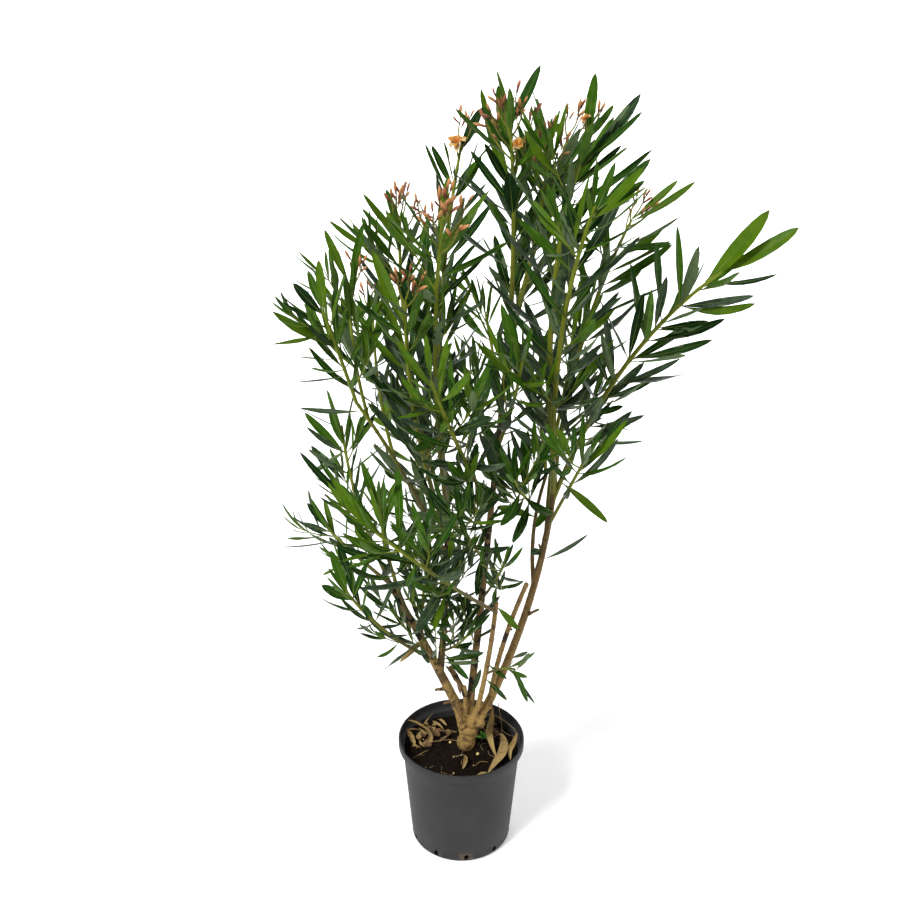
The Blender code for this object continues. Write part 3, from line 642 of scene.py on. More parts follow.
def closed(name: str, bm: BMesh) -> Object:
    """An object of the finished BMesh, which is freed, with all faces outwards.

    Args:
        name: The object's name.
        bm: Its faces.

    Returns:
        The object.
    """
    bmesh.ops.recalc_face_normals(bm, faces=bm.faces)
    mesh = bpy.data.meshes.new(name)
    bm.to_mesh(mesh)
    bm.free()
    return linked(name, mesh)


def applied(obj: Object) -> bpy.types.Mesh:
    """The object's mesh with its modifiers applied. The object and its old mesh are removed.

    Args:
        obj: The object to take.

    Returns:
        The new mesh.
    """
    graph = bpy.context.evaluated_depsgraph_get()
    mesh = bpy.data.meshes.new_from_object(obj.evaluated_get(graph))
    old = obj.data
    bpy.data.objects.remove(obj)
    bpy.data.meshes.remove(old)
    return mesh


def hand_in(obj: Object, slot: str, nodes: Iterable[str] = ()) -> None:
    """Makes the piece ride with the plant, in place of the frame's nodes, and logs its triangles and slot.

    Args:
        obj: The piece.
        slot: Its slot's name, for the log.
        nodes: The frame's nodes that it stands for.
    """
    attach(obj, "root")
    if nodes:
        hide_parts(*nodes)
    obj.data.calc_loop_triangles()
    log.info("%s: %d triangles, %s", obj.name, len(obj.data.loop_triangles), slot)


class MeshStore:
    """Gathers the faces of many small shapes that are joined in one piece."""

    def __init__(self, *finishes: Finish) -> None:
        """Starts an empty store with these finishes.

        Args:
            finishes: What its faces may wear.
        """
        self.finishes = finishes
        self.points: list[Array] = []
        self.faces: list[list[int]] = []
        self.slots: list[Array] = []
        self.ages: list[Array] = []
        self.blades: list[Array] = []
        self.count = 0

    def slot_of(self, finish: Finish) -> int:
        """The finish's number in this store."""
        return self.finishes.index(finish)

    def add(
        self, points: Array, faces: Array, slots: Array | int = 0,
        ages: Array | float = 0.0, blades: Array | None = None,
    ) -> None:
        """Adds one shape.

        Args:
            points: Its points, one row each.
            faces: Its faces, all with as many corners, one row each.
            slots: The number of each face's finish, or one for all.
            ages: A number for each point that its finish shades by, or one for all.
            blades: For each point its place along and across a blade, in metres.
        """
        self.points.append(points)
        self.faces.extend((faces + self.count).tolist())
        self.slots.append(np.broadcast_to(slots, len(faces)))
        self.ages.append(np.broadcast_to(ages, len(points)))
        self.blades.append(np.zeros((len(points), 2)) if blades is None else blades)
        self.count += len(points)

    def piece(self, name: str, smooth: bool = True) -> Object:
        """The joined piece with its finishes, smooth or not, linked to the scene.

        Args:
            name: The piece's name.
            smooth: Whether its faces are shaded smooth.

        Returns:
            The piece.
        """
        mesh = bpy.data.meshes.new(name)
        mesh.from_pydata(np.concatenate(self.points), [], self.faces)
        for finish in self.finishes:
            mesh.materials.append(finish.material())
        mesh.polygons.foreach_set("material_index", np.concatenate(self.slots).astype(np.int32))
        mesh.polygons.foreach_set("use_smooth", np.full(len(self.faces), smooth))
        write_values(mesh, "age", np.concatenate(self.ages))
        corners = np.empty(len(mesh.loops), np.int32)
        mesh.loops.foreach_get("vertex_index", corners)
        layer = mesh.uv_layers.new(name="blade")
        layer.uv.foreach_set("vector", np.concatenate(self.blades)[corners].astype(np.float32).ravel())
        return linked(name, mesh)


# --- The plant's plan ---


@dataclass(frozen=True)
class Knuckle:
    """A lobe of the root crown, from the foot to where a stem starts."""

    tip: Triple
    radius: float


@dataclass(frozen=True)
class Branch:
    """What grows on something else: where it starts on its parent, its tip and its middle's bow."""

    parent: str
    along: float
    tip: Triple
    bow: Triple


@dataclass(frozen=True)
class Limb(Branch):
    """A stem or bough, with its radii and its bark's ages (0 for green skin, 1 for dry tan) at foot and tip."""

    radii: tuple[float, float]
    ages: tuple[float, float]


@dataclass(frozen=True)
class Shoot(Branch):
    """A leading shoot, with how it is clothed.

    It holds its foot's radius, the share of it that bears leaves, the length and furthest spread of its
    leaves, the turn of its top whorl (both in degrees), how many twigs (besides the two that every long shoot
    has), buds and faded flowers it bears, and how far below its tip its flower stalks start.
    """

    radius: float
    leafy: float
    leaf: float
    spread: float
    turn: float
    twigs: int
    buds: int = 0
    flowers: int = 0
    drop: float = 0.0


@dataclass(frozen=True)
class LeadLeaf:
    """A leaf placed singly, where it makes the plant's outline: stem, share of it, tip, width, arch and roll."""

    stem: str
    along: float
    tip: Triple
    width: float
    rise: float
    tint: Tint
    roll: float = 0.0


@dataclass(frozen=True)
class Wisp:
    """A thin twig with small leaves, low on a limb: the limb, the share of it and its tip."""

    limb: str
    along: float
    tip: Triple


YOUNG, FRESH, MIDDLE, DEEP, DUSKY = Tint

KNUCKLES = {
    "left": Knuckle(mm(-8, 2, 312), 0.0130),
    "centre": Knuckle(mm(18, 8, 318), 0.0110),
    "front": Knuckle(mm(33, -14, 318), 0.0078),
    "right": Knuckle(mm(53, 4, 312), 0.0115),
    "dead": Knuckle(mm(6, -8, 368), 0.0056),
}

LIMBS = {
    "left_stem": Limb("left", 1, mm(-140, -40, 625), mm(6, 0, -6), (0.0102, 0.0062), (0.92, 0.66)),
    "left_upright": Limb("left_stem", 0.31, mm(-30, 60, 750), mm(6, 0, 6), (0.0074, 0.0054), (0.86, 0.52)),
    "left_brace": Limb("dead", 0.86, mm(-24, -4, 412), mm(2, -2, 3), (0.0048, 0.0044), (0.55, 0.55)),
    "left_bough": Limb("left_upright", 0.66, mm(-190, -50, 995), mm(4, 4, 10), (0.0046, 0.0034), (0.5, 0.1)),
    "central_stem": Limb("centre", 1, mm(85, 20, 1140), mm(2, 6, 0), (0.0082, 0.0044), (0.8, 0.3)),
    "centre_thin": Limb("front", 1, mm(65, -55, 590), mm(4, 0, 0), (0.0056, 0.0046), (0.9, 0.8)),
    "right_stem": Limb("right", 1, mm(175, 20, 805), mm(21, 0, 0), (0.0088, 0.0058), (0.9, 0.42)),
    "inner_right": Limb("right_stem", 0.03, mm(121, -70, 640), mm(-9, -2, 0), (0.0056, 0.0046), (0.9, 0.72)),
    "right_twin": Limb("right_stem", 0.56, mm(165, 90, 790), mm(-12, 4, 0), (0.0046, 0.0036), (0.6, 0.4)),
}

SHOOTS = {
    "top": Shoot("central_stem", 1, mm(76, 10, 1470), mm(5, 5, 0), 0.0038, 1, 0.13, 58, 20, -2, 7, 2, 0.012),
    "top_right": Shoot("central_stem", 0.87, mm(195, 200, 1425), mm(-10, 0, -18), 0.0038, 0.86, 0.124, 52, 0, 1, 4),
    "top_middle": Shoot("central_stem", 0.955, mm(145, 44, 1412), mm(10, 6, -4), 0.0032, 0.8, 0.116, 48, 35, 0, 7),
    "leader_back": Shoot("left_upright", 1, mm(0, 240, 1410), mm(-26, 0, 4), 0.0046, 0.8, 0.1, 36, 10, -2, 4, 1),
    "leader_front": Shoot("left_upright", 0.94, mm(-35, -140, 1330), mm(-16, -6, 16), 0.0042, 0.8, 0.124, 58, 50, 1, 8),
    "left_middle": Shoot("left_upright", 0.86, mm(-115, 160, 1285), mm(-28, 2, 30), 0.004, 0.8, 0.12, 52, 25, -1, 6, 1),
    "left_front": Shoot("left_upright", 0.79, mm(-96, -110, 1195), mm(-22, -16, 20), 0.004, 0.8, 0.116, 56, 70, 0, 4),
    "left_tip": Shoot("left_bough", 1, mm(-234, -115, 1180), mm(5, 4, -16), 0.003, 1, 0.108, 58, 15, 0),
    "left_high": Shoot("left_bough", 0.88, mm(-205, 80, 1180), mm(-10, 2, 0), 0.0028, 0.78, 0.12, 52, 40, 1, 3),
    "left_back": Shoot("left_bough", 0.62, mm(-175, 220, 1090), mm(-10, 18, -18), 0.003, 0.76, 0.12, 58, 5, 1, 3),
    "right_high": Shoot("right_stem", 1, mm(202, -60, 1455), mm(-34, -8, 50), 0.0048, 0.92, 0.132, 55, 30, 0, 1, 1),
    "right_front": Shoot("right_stem", 0.955, mm(196, -205, 1365), mm(-22, -6, 40), 0.0042, 0.88, 0.126, 55, 0, 1),
    "right_back": Shoot("right_stem", 0.89, mm(312, 150, 1280), mm(-24, 6, 20), 0.0042, 0.86, 0.124, 56, 45, 0, 4),
    "right_reach": Shoot("right_stem", 0.92, mm(442, -40, 1228), mm(-20, 10, 42), 0.0042, 0.86, 0.134, 58, 12, -2),
    "right_low": Shoot("right_stem", 0.82, mm(212, -120, 915), mm(4, -10, 16), 0.003, 0.62, 0.112, 72, 25, -1),
    "back_right": Shoot("right_stem", 0.78, mm(248, 270, 1058), mm(-14, 12, 0), 0.0038, 0.6, 0.104, 62, 40, -1),
    "middle_front": Shoot("central_stem", 0.53, mm(-55, -220, 1095), mm(-6, -20, 6), 0.0036, 0.76, 0.12, 60, 30, 2),
    "centre_front": Shoot("central_stem", 0.68, mm(96, -140, 1100), mm(6, -4, 4), 0.003, 0.74, 0.112, 62, 10, 0),
    "centre_left": Shoot("central_stem", 0.39, mm(-12, -112, 800), mm(-6, -4, 8), 0.0028, 0.76, 0.098, 70, 40, 3),
    "centre_twig": Shoot("central_stem", 0.8, mm(44, 170, 1100), mm(0, 10, -6), 0.0028, 0.7, 0.106, 64, 50, -1),
    "back_centre": Shoot("central_stem", 0.6, mm(30, 270, 960), mm(0, 8, -12), 0.0032, 0.72, 0.112, 62, 15, 1),
    "inner_twig": Shoot("central_stem", 0.44, mm(10, 170, 745), mm(0, 10, -8), 0.0026, 0.78, 0.094, 68, 45, 3),
    "low_centre": Shoot("central_stem", 0.29, mm(76, -102, 700), mm(6, -6, 8), 0.0024, 0.5, 0.074, 72, 20, 0),
    "twin_tip": Shoot("right_twin", 1, mm(124, 170, 1000), mm(8, 4, 0), 0.0032, 0.9, 0.108, 66, 0, 0),
    "twin_front": Shoot("right_twin", 0.72, mm(88, -130, 880), mm(0, -6, -8), 0.0028, 0.7, 0.118, 72, 30, 2),
    "back_left": Shoot("left_upright", 0.73, mm(-125, 265, 850), mm(0, 12, -14), 0.003, 0.72, 0.12, 64, 0, 3),
    "back_low": Shoot("left_upright", 0.45, mm(-85, 200, 715), mm(-8, 8, -6), 0.0026, 0.7, 0.098, 68, 20, 2),
    "low_inner": Shoot("left_upright", 0.34, mm(6, 120, 605), mm(0, 6, 0), 0.0024, 0.8, 0.084, 72, 35, 5),
    "left_rear": Shoot("left_stem", 0.93, mm(-240, 168, 868), mm(-20, 34, -16), 0.0034, 0.74, 0.12, 66, 10, 1),
    "left_side": Shoot("left_stem", 1, mm(-262, 34, 705), mm(-10, 0, 6), 0.0032, 0.85, 0.086, 74, 35, 0),
    "front_low": Shoot("left_stem", 0.72, mm(-145, -165, 850), mm(-10, -12, 8), 0.0032, 0.68, 0.092, 66, 0, 0),
    "low_front": Shoot("centre_thin", 0.92, mm(-150, -240, 835), mm(10, -20, -4), 0.0032, 0.62, 0.122, 66, 25, 2),
    "low_left": Shoot("left_stem", 0.42, mm(-215, -120, 655), mm(-10, -12, -4), 0.003, 0.48, 0.098, 62, 50, -2),
    "low_twig": Shoot("left_stem", 0.55, mm(-60, -85, 680), mm(-10, -10, 4), 0.0024, 0.85, 0.08, 70, 5, 5),
    "foot_left": Shoot("left_upright", 0.12, mm(10, -75, 530), mm(4, -12, 4), 0.0022, 0.85, 0.078, 78, 30, 4),
    "foot_right": Shoot("centre_thin", 0.34, mm(104, -95, 465), mm(0, -4, 10), 0.0022, 0.5, 0.07, 96, 0, 0),
}

# Each lead leaf's tone is listed with it; the darker tones stand partly for the leaf's age and partly for painted
# shade.
LEAD_ROWS = {
    "right_high": (
        (96, (205, -55, 1545), 18, 0, FRESH), (98, (240, -30, 1495), 12, 10, FRESH),
        (91, (278, -85, 1490), 17, 20, MIDDLE), (83, (260, -10, 1430), 13, 12, DEEP),
    ),
    "right_back": (
        (99, (418, 130, 1350), 15, 18, YOUNG), (100, (394, 168, 1346), 16, 10, YOUNG),
        (89, (400, 158, 1282), 12, 16, DEEP, 150), (75, (378, 92, 1245), 18, 18, FRESH),
        (89, (379, 108, 1243), 17, 18, FRESH),
    ),
    "right_front": (
        (97, (275, -200, 1433), 19, 14, MIDDLE), (94, (262, -225, 1425), 18, 10, YOUNG),
        (97, (272, -179, 1398), 16, 14, FRESH),
    ),
    "right_reach": (
        (92, (504, -50, 1331), 31, 16, YOUNG), (99, (559, -40, 1300), 28, 14, YOUNG),
        (93, (545, 0, 1212), 11, 22, DEEP, 70), (96, (480, 10, 1268), 14, 5, DEEP),
        (80, (488, -72, 1192), 15, 10, DUSKY, 30), (69, (410, -82, 1150), 14, 10, DEEP),
        (68, (342, -52, 1220), 15, -6, DUSKY), (76, (396, 20, 1200), 13, 5, FRESH),
        (82, (424, 26, 1232), 12, 0, DEEP, 80), (7, (275, -13, 738), 16, -10, YOUNG, 20),
        (22, (314, 13, 933), 10, 20, DUSKY), (23, (332, -18, 908), 9, 22, DUSKY, 60),
        (32, (290, -11, 972), 13, 5, MIDDLE), (43, (226, -17, 1083), 13, -5, DEEP),
        (38, (353, 36, 1009), 12, 14, DEEP, 40), (43, (385, -17, 1064), 13, 16, DUSKY),
        (54, (311, -23, 1185), 17, 5, DEEP), (68, (424, -33, 1137), 14, 10, MIDDLE),
        (55, (435, -34, 1104), 17, 14, MIDDLE),
    ),
    "top": (
        (100, (52, 10, 1545), 12, 0, YOUNG, 30), (97, (124, 12, 1553), 20, 14, MIDDLE),
        (52, (75, -10, 1386), 24, 4, DEEP), (75, (160, -25, 1468), 21, 12, FRESH), (65, (33, -2, 1432), 16, 10, DEEP),
        (84, (30, 34, 1487), 17, 5, MIDDLE), (57, (11, 49, 1414), 15, 10, DEEP), (46, (3, -10, 1380), 14, 12, DUSKY),
    ),
    "leader_back": (
        (97, (36, 230, 1468), 24, 8, DEEP), (86, (28, 197, 1378), 18, 12, FRESH), (89, (-16, 178, 1384), 17, 6, MIDDLE),
        (67, (54, 161, 1306), 18, 14, DEEP), (62, (25, 150, 1234), 14, 12, DEEP),
        (87, (-58, 215, 1403), 15, 10, MIDDLE),
    ),
    "left_middle": (
        (92, (-182, 150, 1325), 15, 18, YOUNG), (81, (-176, 110, 1278), 16, 14, FRESH),
        (95, (-141, 180, 1328), 14, 5, FRESH),
    ),
    "left_high": (
        (98, (-247, 80, 1274), 15, 8, YOUNG), (97, (-178, 80, 1284), 16, 8, FRESH),
    ),
    "left_tip": (
        (97, (-236, -115, 1262), 16, 0, YOUNG), (99, (-258, -85, 1238), 14, 5, FRESH),
        (96, (-276, -140, 1230), 18, 10, DEEP), (85, (-292, -150, 1200), 12, 12, DEEP),
        (69, (-258, -130, 1158), 15, 8, DUSKY), (39, (-289, -71, 1039), 10, 16, DUSKY, 40),
    ),
    "left_rear": (
        (98, (-322, 165, 905), 11, 20, DUSKY, 60), (87, (-262, 158, 902), 16, 5, FRESH),
        (83, (-308, 152, 868), 12, 20, DUSKY), (84, (-302, 150, 770), 12, 10, DUSKY, 160),
        (50, (-317, 98, 838), 15, 26, DEEP),
    ),
    "left_side": (
        (98, (-298, 34, 758), 13, 10, DEEP), (91, (-308, 28, 718), 12, 12, DUSKY),
        (76, (-352, 15, 672), 12, 20, DUSKY, 60),
    ),
    "low_left": (
        (97, (-238, -118, 735), 18, 8, FRESH), (89, (-258, -120, 664), 19, 10, MIDDLE),
        (90, (-174, -114, 708), 14, 5, MIDDLE), (65, (-187, -110, 618), 15, 10, MIDDLE),
    ),
    "centre_left": (
        (90, (-95, -130, 815), 18, 10, MIDDLE, 150), (80, (-85, -90, 760), 17, 12, MIDDLE, 160),
        (11, (28, -28, 587), 15, -10, DEEP),
    ),
    "central_stem": (
        (3, (38, -22, 418), 11, 0, DUSKY, 20), (41, (74, -21, 596), 13, -10, DUSKY),
    ),
    "centre_thin": (
        (30, (90, -48, 362), 10, -8, DEEP), (44, (88, -62, 422), 9, 10, MIDDLE), (96, (108, -65, 535), 14, -10, YOUNG),
    ),
    "foot_right": (
        (92, (126, -108, 400), 11, -20, MIDDLE), (80, (142, -96, 388), 8, 5, DEEP, 40),
        (100, (128, -100, 506), 11, 5, DUSKY, 160),
    ),
    "left_upright": (
        (11, (14, -32, 400), 13, 5, MIDDLE), (6, (36, -40, 448), 12, 10, MIDDLE, 150),
        (8, (44, -35, 465), 14, 16, MIDDLE), (43, (24, -10, 568), 13, 10, DEEP),
    ),
    "foot_left": (
        (27, (22, -40, 490), 10, 10, DEEP),
    ),
    "right_twin": (
        (62, (67, 44, 744), 18, -6, YOUNG),
    ),
    "right_stem": (
        (91, (139, -11, 727), 15, -5, FRESH), (72, (131, -14, 672), 17, -5, DUSKY),
        (23, (135, 28, 426), 10, 5, DUSKY, 150), (68, (243, 15, 700), 11, 20, DUSKY, 60),
    ),
    "low_inner": (
        (6, (37, 51, 522), 13, 10, DUSKY), (5, (9, 70, 511), 9, 5, DUSKY),
    ),
    "left_bough": (
        (94, (-290, -44, 981), 10, 16, DUSKY),
    ),
}

LEAD_LEAVES = [
    LeadLeaf(stem, share / 100, mm(*tip), width / 1000, rise / 100, tint, *roll)
    for stem, rows in LEAD_ROWS.items()
    for share, tip, width, rise, tint, *roll in rows
]

WISPS = (
    Wisp("left_stem", 0.44, mm(-125, -85, 580)),
    Wisp("left_stem", 0.64, mm(-172, -60, 622)),
    Wisp("left_stem", 0.36, mm(-52, -85, 585)),
    Wisp("left_stem", 0.52, mm(-165, -95, 545)),
    Wisp("left_upright", 0.10, mm(-40, -60, 560)),
    Wisp("left_upright", 0.34, mm(-70, 0, 665)),
    Wisp("central_stem", 0.16, mm(2, -60, 575)),
)


class Axis:
    """The middle line of a stem: a quadratic curve from foot to tip, bowed at its middle, that tapers."""

    def __init__(
        self, foot: Vector, tip: Sequence[float], bow: Sequence[float], radii: tuple[float, float],
        ages: tuple[float, float], swell: float = 1.0, taper: float = 1.0,
    ) -> None:
        """Lays the curve.

        Args:
            foot: Where it starts.
            tip: Where it ends.
            bow: How far its middle lies off the straight line.
            radii: Its radius at foot and tip.
            ages: Its bark's age at foot and tip.
            swell: How much wider it is half way up than its taper says.
            taper: 1 for an even taper, less for one that comes mostly near the tip.
        """
        self.foot, self.tip = Vector(foot), Vector(tip)
        self.control = (self.foot + self.tip) / 2 + 2 * Vector(bow)
        self.radii, self.ages, self.swell, self.taper = radii, ages, swell, taper
        self.length = float(np.linalg.norm(np.diff(self.line(24), axis=0), axis=1).sum())

    def point(self, share: float) -> Vector:
        """The place at that share of the curve."""
        back = 1 - share
        return back * back * self.foot + 2 * back * share * self.control + share * share * self.tip

    def heading(self, share: float) -> Vector:
        """The direction at that share of the curve."""
        return ((1 - share) * (self.control - self.foot) + share * (self.tip - self.control)).normalized()

    def radius(self, share: float) -> float:
        """The radius at that share of the curve."""
        plain = self.radii[1] + (self.radii[0] - self.radii[1]) * max(0.0, 1 - share) ** self.taper
        return plain * (1 + (self.swell - 1) * math.sin(math.pi * share))

    def age(self, share: float) -> float:
        """The bark's age at that share of the curve."""
        return self.ages[0] + (self.ages[1] - self.ages[0]) * share

    def line(self, steps: int, start: float = 0.0) -> Array:
        """Points of the curve, evenly from a share of it to its tip."""
        return np.array([self.point(start + (1 - start) * i / steps) for i in range(steps + 1)])

    def girth(self, steps: int) -> Array:
        """The radii at even shares."""
        return np.array([self.radius(i / steps) for i in range(steps + 1)])


@dataclass
class Plan:
    """Works out every stem's curve by the frame's rule."""

    crown_foot: Triple = (0.012, 0.0, SOIL_TOP - 0.010)
    crown_radius: float = 0.0200
    knuckle_foot: float = 0.50
    knuckle_start: float = 0.10
    knuckle_bow: float = -0.21
    knuckle_slim: float = 0.74
    crown_swell: float = 1.05
    tip_inset: float = 0.0015
    shoot_tip_radius: float = 0.0021
    shoot_stoutness: float = 1.20
    shoot_taper: float = 0.50
    shoot_age: float = 0.26
    knuckles: dict[str, Axis] = field(default_factory=dict)
    limbs: dict[str, Axis] = field(default_factory=dict)
    shoots: dict[str, Axis] = field(default_factory=dict)

    def lay_out(self) -> None:
        """Fills in the curves of the knuckles, limbs and shoots."""
        foot = Vector(self.crown_foot)
        for name, knuckle in KNUCKLES.items():
            tip = Vector(knuckle.tip)
            lean = Vector((tip.x - foot.x, tip.y - foot.y, 0.0))
            radii = (self.crown_radius * self.knuckle_foot, knuckle.radius * self.knuckle_slim)
            start = foot + lean * self.knuckle_start
            self.knuckles[name] = Axis(start, tip, lean * self.knuckle_bow, radii, (1.0, 1.0), self.crown_swell)
        for name, limb in LIMBS.items():
            self.limbs[name] = Axis(self.foot_of(limb), limb.tip, limb.bow, limb.radii, limb.ages)
        for name, shoot in SHOOTS.items():
            radii = (shoot.radius * self.shoot_stoutness, self.shoot_tip_radius)
            ages = (min(0.5, self.limbs[shoot.parent].age(shoot.along) * self.shoot_age / 0.5), 0.0)
            self.shoots[name] = Axis(self.foot_of(shoot), shoot.tip, shoot.bow, radii, ages, taper=self.shoot_taper)

    def foot_of(self, branch: Branch) -> Vector:
        """Where a branch starts on its parent's middle line, just inside the tip when it leads on."""
        parent = self.limbs.get(branch.parent) or self.knuckles[branch.parent]
        return parent.point(min(branch.along, 1 - self.tip_inset / parent.length))


class Side(Enum):
    """The part of the plant that a shoot belongs to, by the knuckle its stem rises from."""

    LEFT = ("left",)
    CENTRE = ("centre", "front", "dead")
    RIGHT = ("right",)

    @classmethod
    def of(cls, stem: str) -> "Side":
        """The side of the shoot, limb or knuckle of that name.

        Args:
            stem: The name of a shoot, limb or knuckle.

        Returns:
            Its side.
        """
        while branch := SHOOTS.get(stem) or LIMBS.get(stem):
            stem = branch.parent
        return next(side for side in cls if stem in side.value)


# --- Pot and compost ---


@dataclass
class GrowersPot:
    """The round grower's pot: turned, with a thick rim band and drain slots round its foot."""

    spokes: int = 160
    rim_band: float = 0.018
    rim_step: float = 0.0085
    rim_thickness: float = 0.0034
    foot_radius: float = 0.104
    foot_rounding: float = 0.008
    wall: float = 0.0022
    floor: float = 0.0032
    drains: int = 10
    drain_first: float = math.radians(-84)
    drain_width: float = 0.010
    drain_height: float = 0.015
    drain_depth: float = 0.016
    drain_foot: float = 0.004

    def __post_init__(self) -> None:
        """Takes the outer size from the frame."""
        low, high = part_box("pot")
        self.height = high.z
        self.rim_radius = (high.x - low.x) / 2

    def body(self, height: float, off: float = 0.0, rise: float = 0.0) -> tuple[float, float]:
        """The wall's outer radius at a height, moved off it outwards and up, and the height there.

        Args:
            height: Where on the wall.
            off: How far off it.
            rise: How far above that height.

        Returns:
            The radius and the height.
        """
        top = self.rim_radius - self.rim_step
        span = self.height - self.rim_band - self.foot_rounding
        radius = self.foot_radius + (top - self.foot_radius) * (height - self.foot_rounding) / span
        return radius + off, height + rise

    @staticmethod
    def arc(x: float, z: float, radius: float, start: float, end: float, steps: int) -> list[tuple[float, float]]:
        """Points of an arc in the profile, between two angles in degrees."""
        angles = np.radians(np.linspace(start, end, steps))
        return [(x + radius * math.cos(a), z + radius * math.sin(a)) for a in angles]

    def profile(self) -> list[tuple[float, float]]:
        """The outline from the middle of the floor inside, up over the rim and down to the foot's middle.

        Returns:
            A radius and a height for each corner.
        """
        edge = self.rim_thickness / 2
        rim, inside, top = self.rim_radius, self.rim_radius - self.rim_thickness, self.height
        band = top - self.rim_band
        step, corner, low = band - 0.004, self.foot_rounding, self.floor
        return [
            (0.0, low), (0.05, low), (self.body(corner)[0] - 0.009, low), (self.body(corner)[0] - 0.004, low + 0.002),
            self.body(corner, -self.wall, 0.002), self.body(0.10, -self.wall), self.body(step, -self.wall, -0.001),
            self.body(step, 0.002 - self.wall, 0.001), (inside - 0.0012, band - 0.0006), (inside, band + 0.002),
            (inside, top - 0.004), *self.arc(inside + edge, top - edge, edge, 180, 0, 9), (rim, top - 0.005),
            (rim - 0.0003, band + 0.0012), (rim - 0.0012, band), (rim - 0.0040, band - 0.0008),
            self.body(step, 0.0010, 0.0018), self.body(step), *map(self.body, (0.18, 0.12, 0.06, 0.024)),
            self.body(0.022, -0.0006, -0.0004), self.body(0.012, -0.0006),
            *self.arc(self.foot_radius - corner, corner, corner, -8, -90, 7),
            (self.foot_radius - 0.016, 0.0), (self.foot_radius - 0.018, 0.0010), (0.0, 0.0010),
        ]

    def drain_cutter(self) -> Object:
        """Oval pegs that point outwards round the foot.

        Returns:
            The pegs, which the drains are cut with.
        """
        bm = bmesh.new()
        place = Matrix.Translation((self.foot_radius, 0.0, self.drain_foot + self.drain_height / 2))
        lay = Matrix.Rotation(math.pi / 2, 4, "Y")
        size = Matrix.Diagonal((self.drain_height / 2, self.drain_width / 2, self.drain_depth, 1.0))
        for i in range(self.drains):
            where = Matrix.Rotation(self.drain_first + math.tau * i / self.drains, 4, "Z") @ place @ lay @ size
            bmesh.ops.create_cone(bm, cap_ends=True, segments=20, radius1=1, radius2=1, depth=1, matrix=where)
        return closed("drain_cutter", bm)

    def build(self) -> Object:
        """Turns the profile, pierces the drains and dresses the pot.

        Returns:
            The pot.
        """
        bm, rings = bmesh.new(), []
        for radius, height in self.profile():
            if radius == 0.0:
                rings.append([bm.verts.new((0.0, 0.0, height))] * self.spokes)
            else:
                rings.append([bm.verts.new(place) for place in circle(radius, height, self.spokes)])
        for upper, lower in zip(rings, rings[1:]):
            for i in range(self.spokes):
                j = (i + 1) % self.spokes
                bm.faces.new(dict.fromkeys((upper[i], upper[j], lower[j], lower[i])))
        turned, cutter = closed("pot_turned", bm), self.drain_cutter()
        modifier = turned.modifiers.new("drains", "BOOLEAN")
        modifier.operation, modifier.object = "DIFFERENCE", cutter
        mesh = applied(turned)
        bpy.data.objects.remove(cutter)
        mesh.shade_smooth()
        mesh.set_sharp_from_angle(angle=math.radians(38))
        return linked("grower_pot", mesh, POT_PLASTIC)


@dataclass
class Compost:
    """The compost: a rough crumbly top over a closed plug, with loose crumbs lying on it."""

    radius: float = 0.1176
    foot_radius: float = 0.095
    foot: float = 0.0045
    rings: int = 62
    spokes: int = 190
    crumbs: int = 1500
    waves: tuple[tuple[float, float], ...] = ((18.0, 0.0030), (55.0, 0.0020), (140.0, 0.0014), (330.0, 0.0008))
    crown: tuple[float, float] = (0.012, 0.0)
    crown_mound: float = 0.0045
    crown_reach: float = 0.034

    def height(self, x: float, y: float) -> float:
        """The level of the compost's top at a place.

        Args:
            x: The place from left to right.
            y: The place from front to back.

        Returns:
            The level there.
        """
        rough = sum(size * noise.noise(Vector((x, y, 0.37)) * scale) for scale, size in self.waves)
        near = math.hypot(x - self.crown[0], y - self.crown[1]) / self.crown_reach
        edge = max(0.0, math.hypot(x, y) / self.radius - 0.86) * 0.02
        return SOIL_TOP - 0.002 + rough + self.crown_mound * math.exp(-near * near) - edge

    def build_plug(self) -> Object:
        """The plug with its rough top.

        Returns:
            The plug.
        """
        store = MeshStore(COMPOST)
        radii = (np.arange(self.rings) + 0.5) / (self.rings - 0.5) * self.radius
        points = [(x, y, self.height(x, y)) for radius in radii for x, y, _ in circle(radius, 0.0, self.spokes)]
        for radius in (self.foot_radius, 0.001):
            points += circle(radius, self.foot, self.spokes)
        store.add(np.array(points), grid_quads(self.rings + 2, self.spokes, wrap=True)[:, ::-1])
        cap = np.arange(self.spokes)
        for ring in (cap, (cap + (self.rings + 1) * self.spokes)[::-1]):
            store.faces.append(ring.tolist())
            store.slots.append(np.zeros(1))
        return store.piece("compost")

    def build_crumbs(self) -> Object:
        """Loose crumbs on the top, most of them small.

        Returns:
            The crumbs.
        """
        rng = Random("crumbs")
        store = MeshStore(COMPOST)
        ball, faces = icosphere(1)
        for _ in range(self.crumbs):
            x, y = polar(self.radius * 0.985 * math.sqrt(rng.random()), rng.uniform(0, math.tau))
            size = 0.0006 + 0.0030 * rng.random() ** 3
            squash = np.array([rng.uniform(0.7, 1.3), rng.uniform(0.7, 1.3), rng.uniform(0.5, 0.9)])
            lumps = np.array([[rng.uniform(0.7, 1.25)] for _ in ball])
            spin = np.array(Matrix.Rotation(rng.uniform(0, 6), 3, "Z"))
            store.add((ball * lumps * squash * size) @ spin.T + (x, y, self.height(x, y) + size * 0.3), faces)
        return store.piece("compost_crumbs", smooth=False)


# --- Root crown, stems and boughs ---


@dataclass(frozen=True)
class Stub:
    """A short snag where a side branch was cut or died."""

    limb: str
    along: float
    direction: Triple
    length: float
    radius: float
    age: float


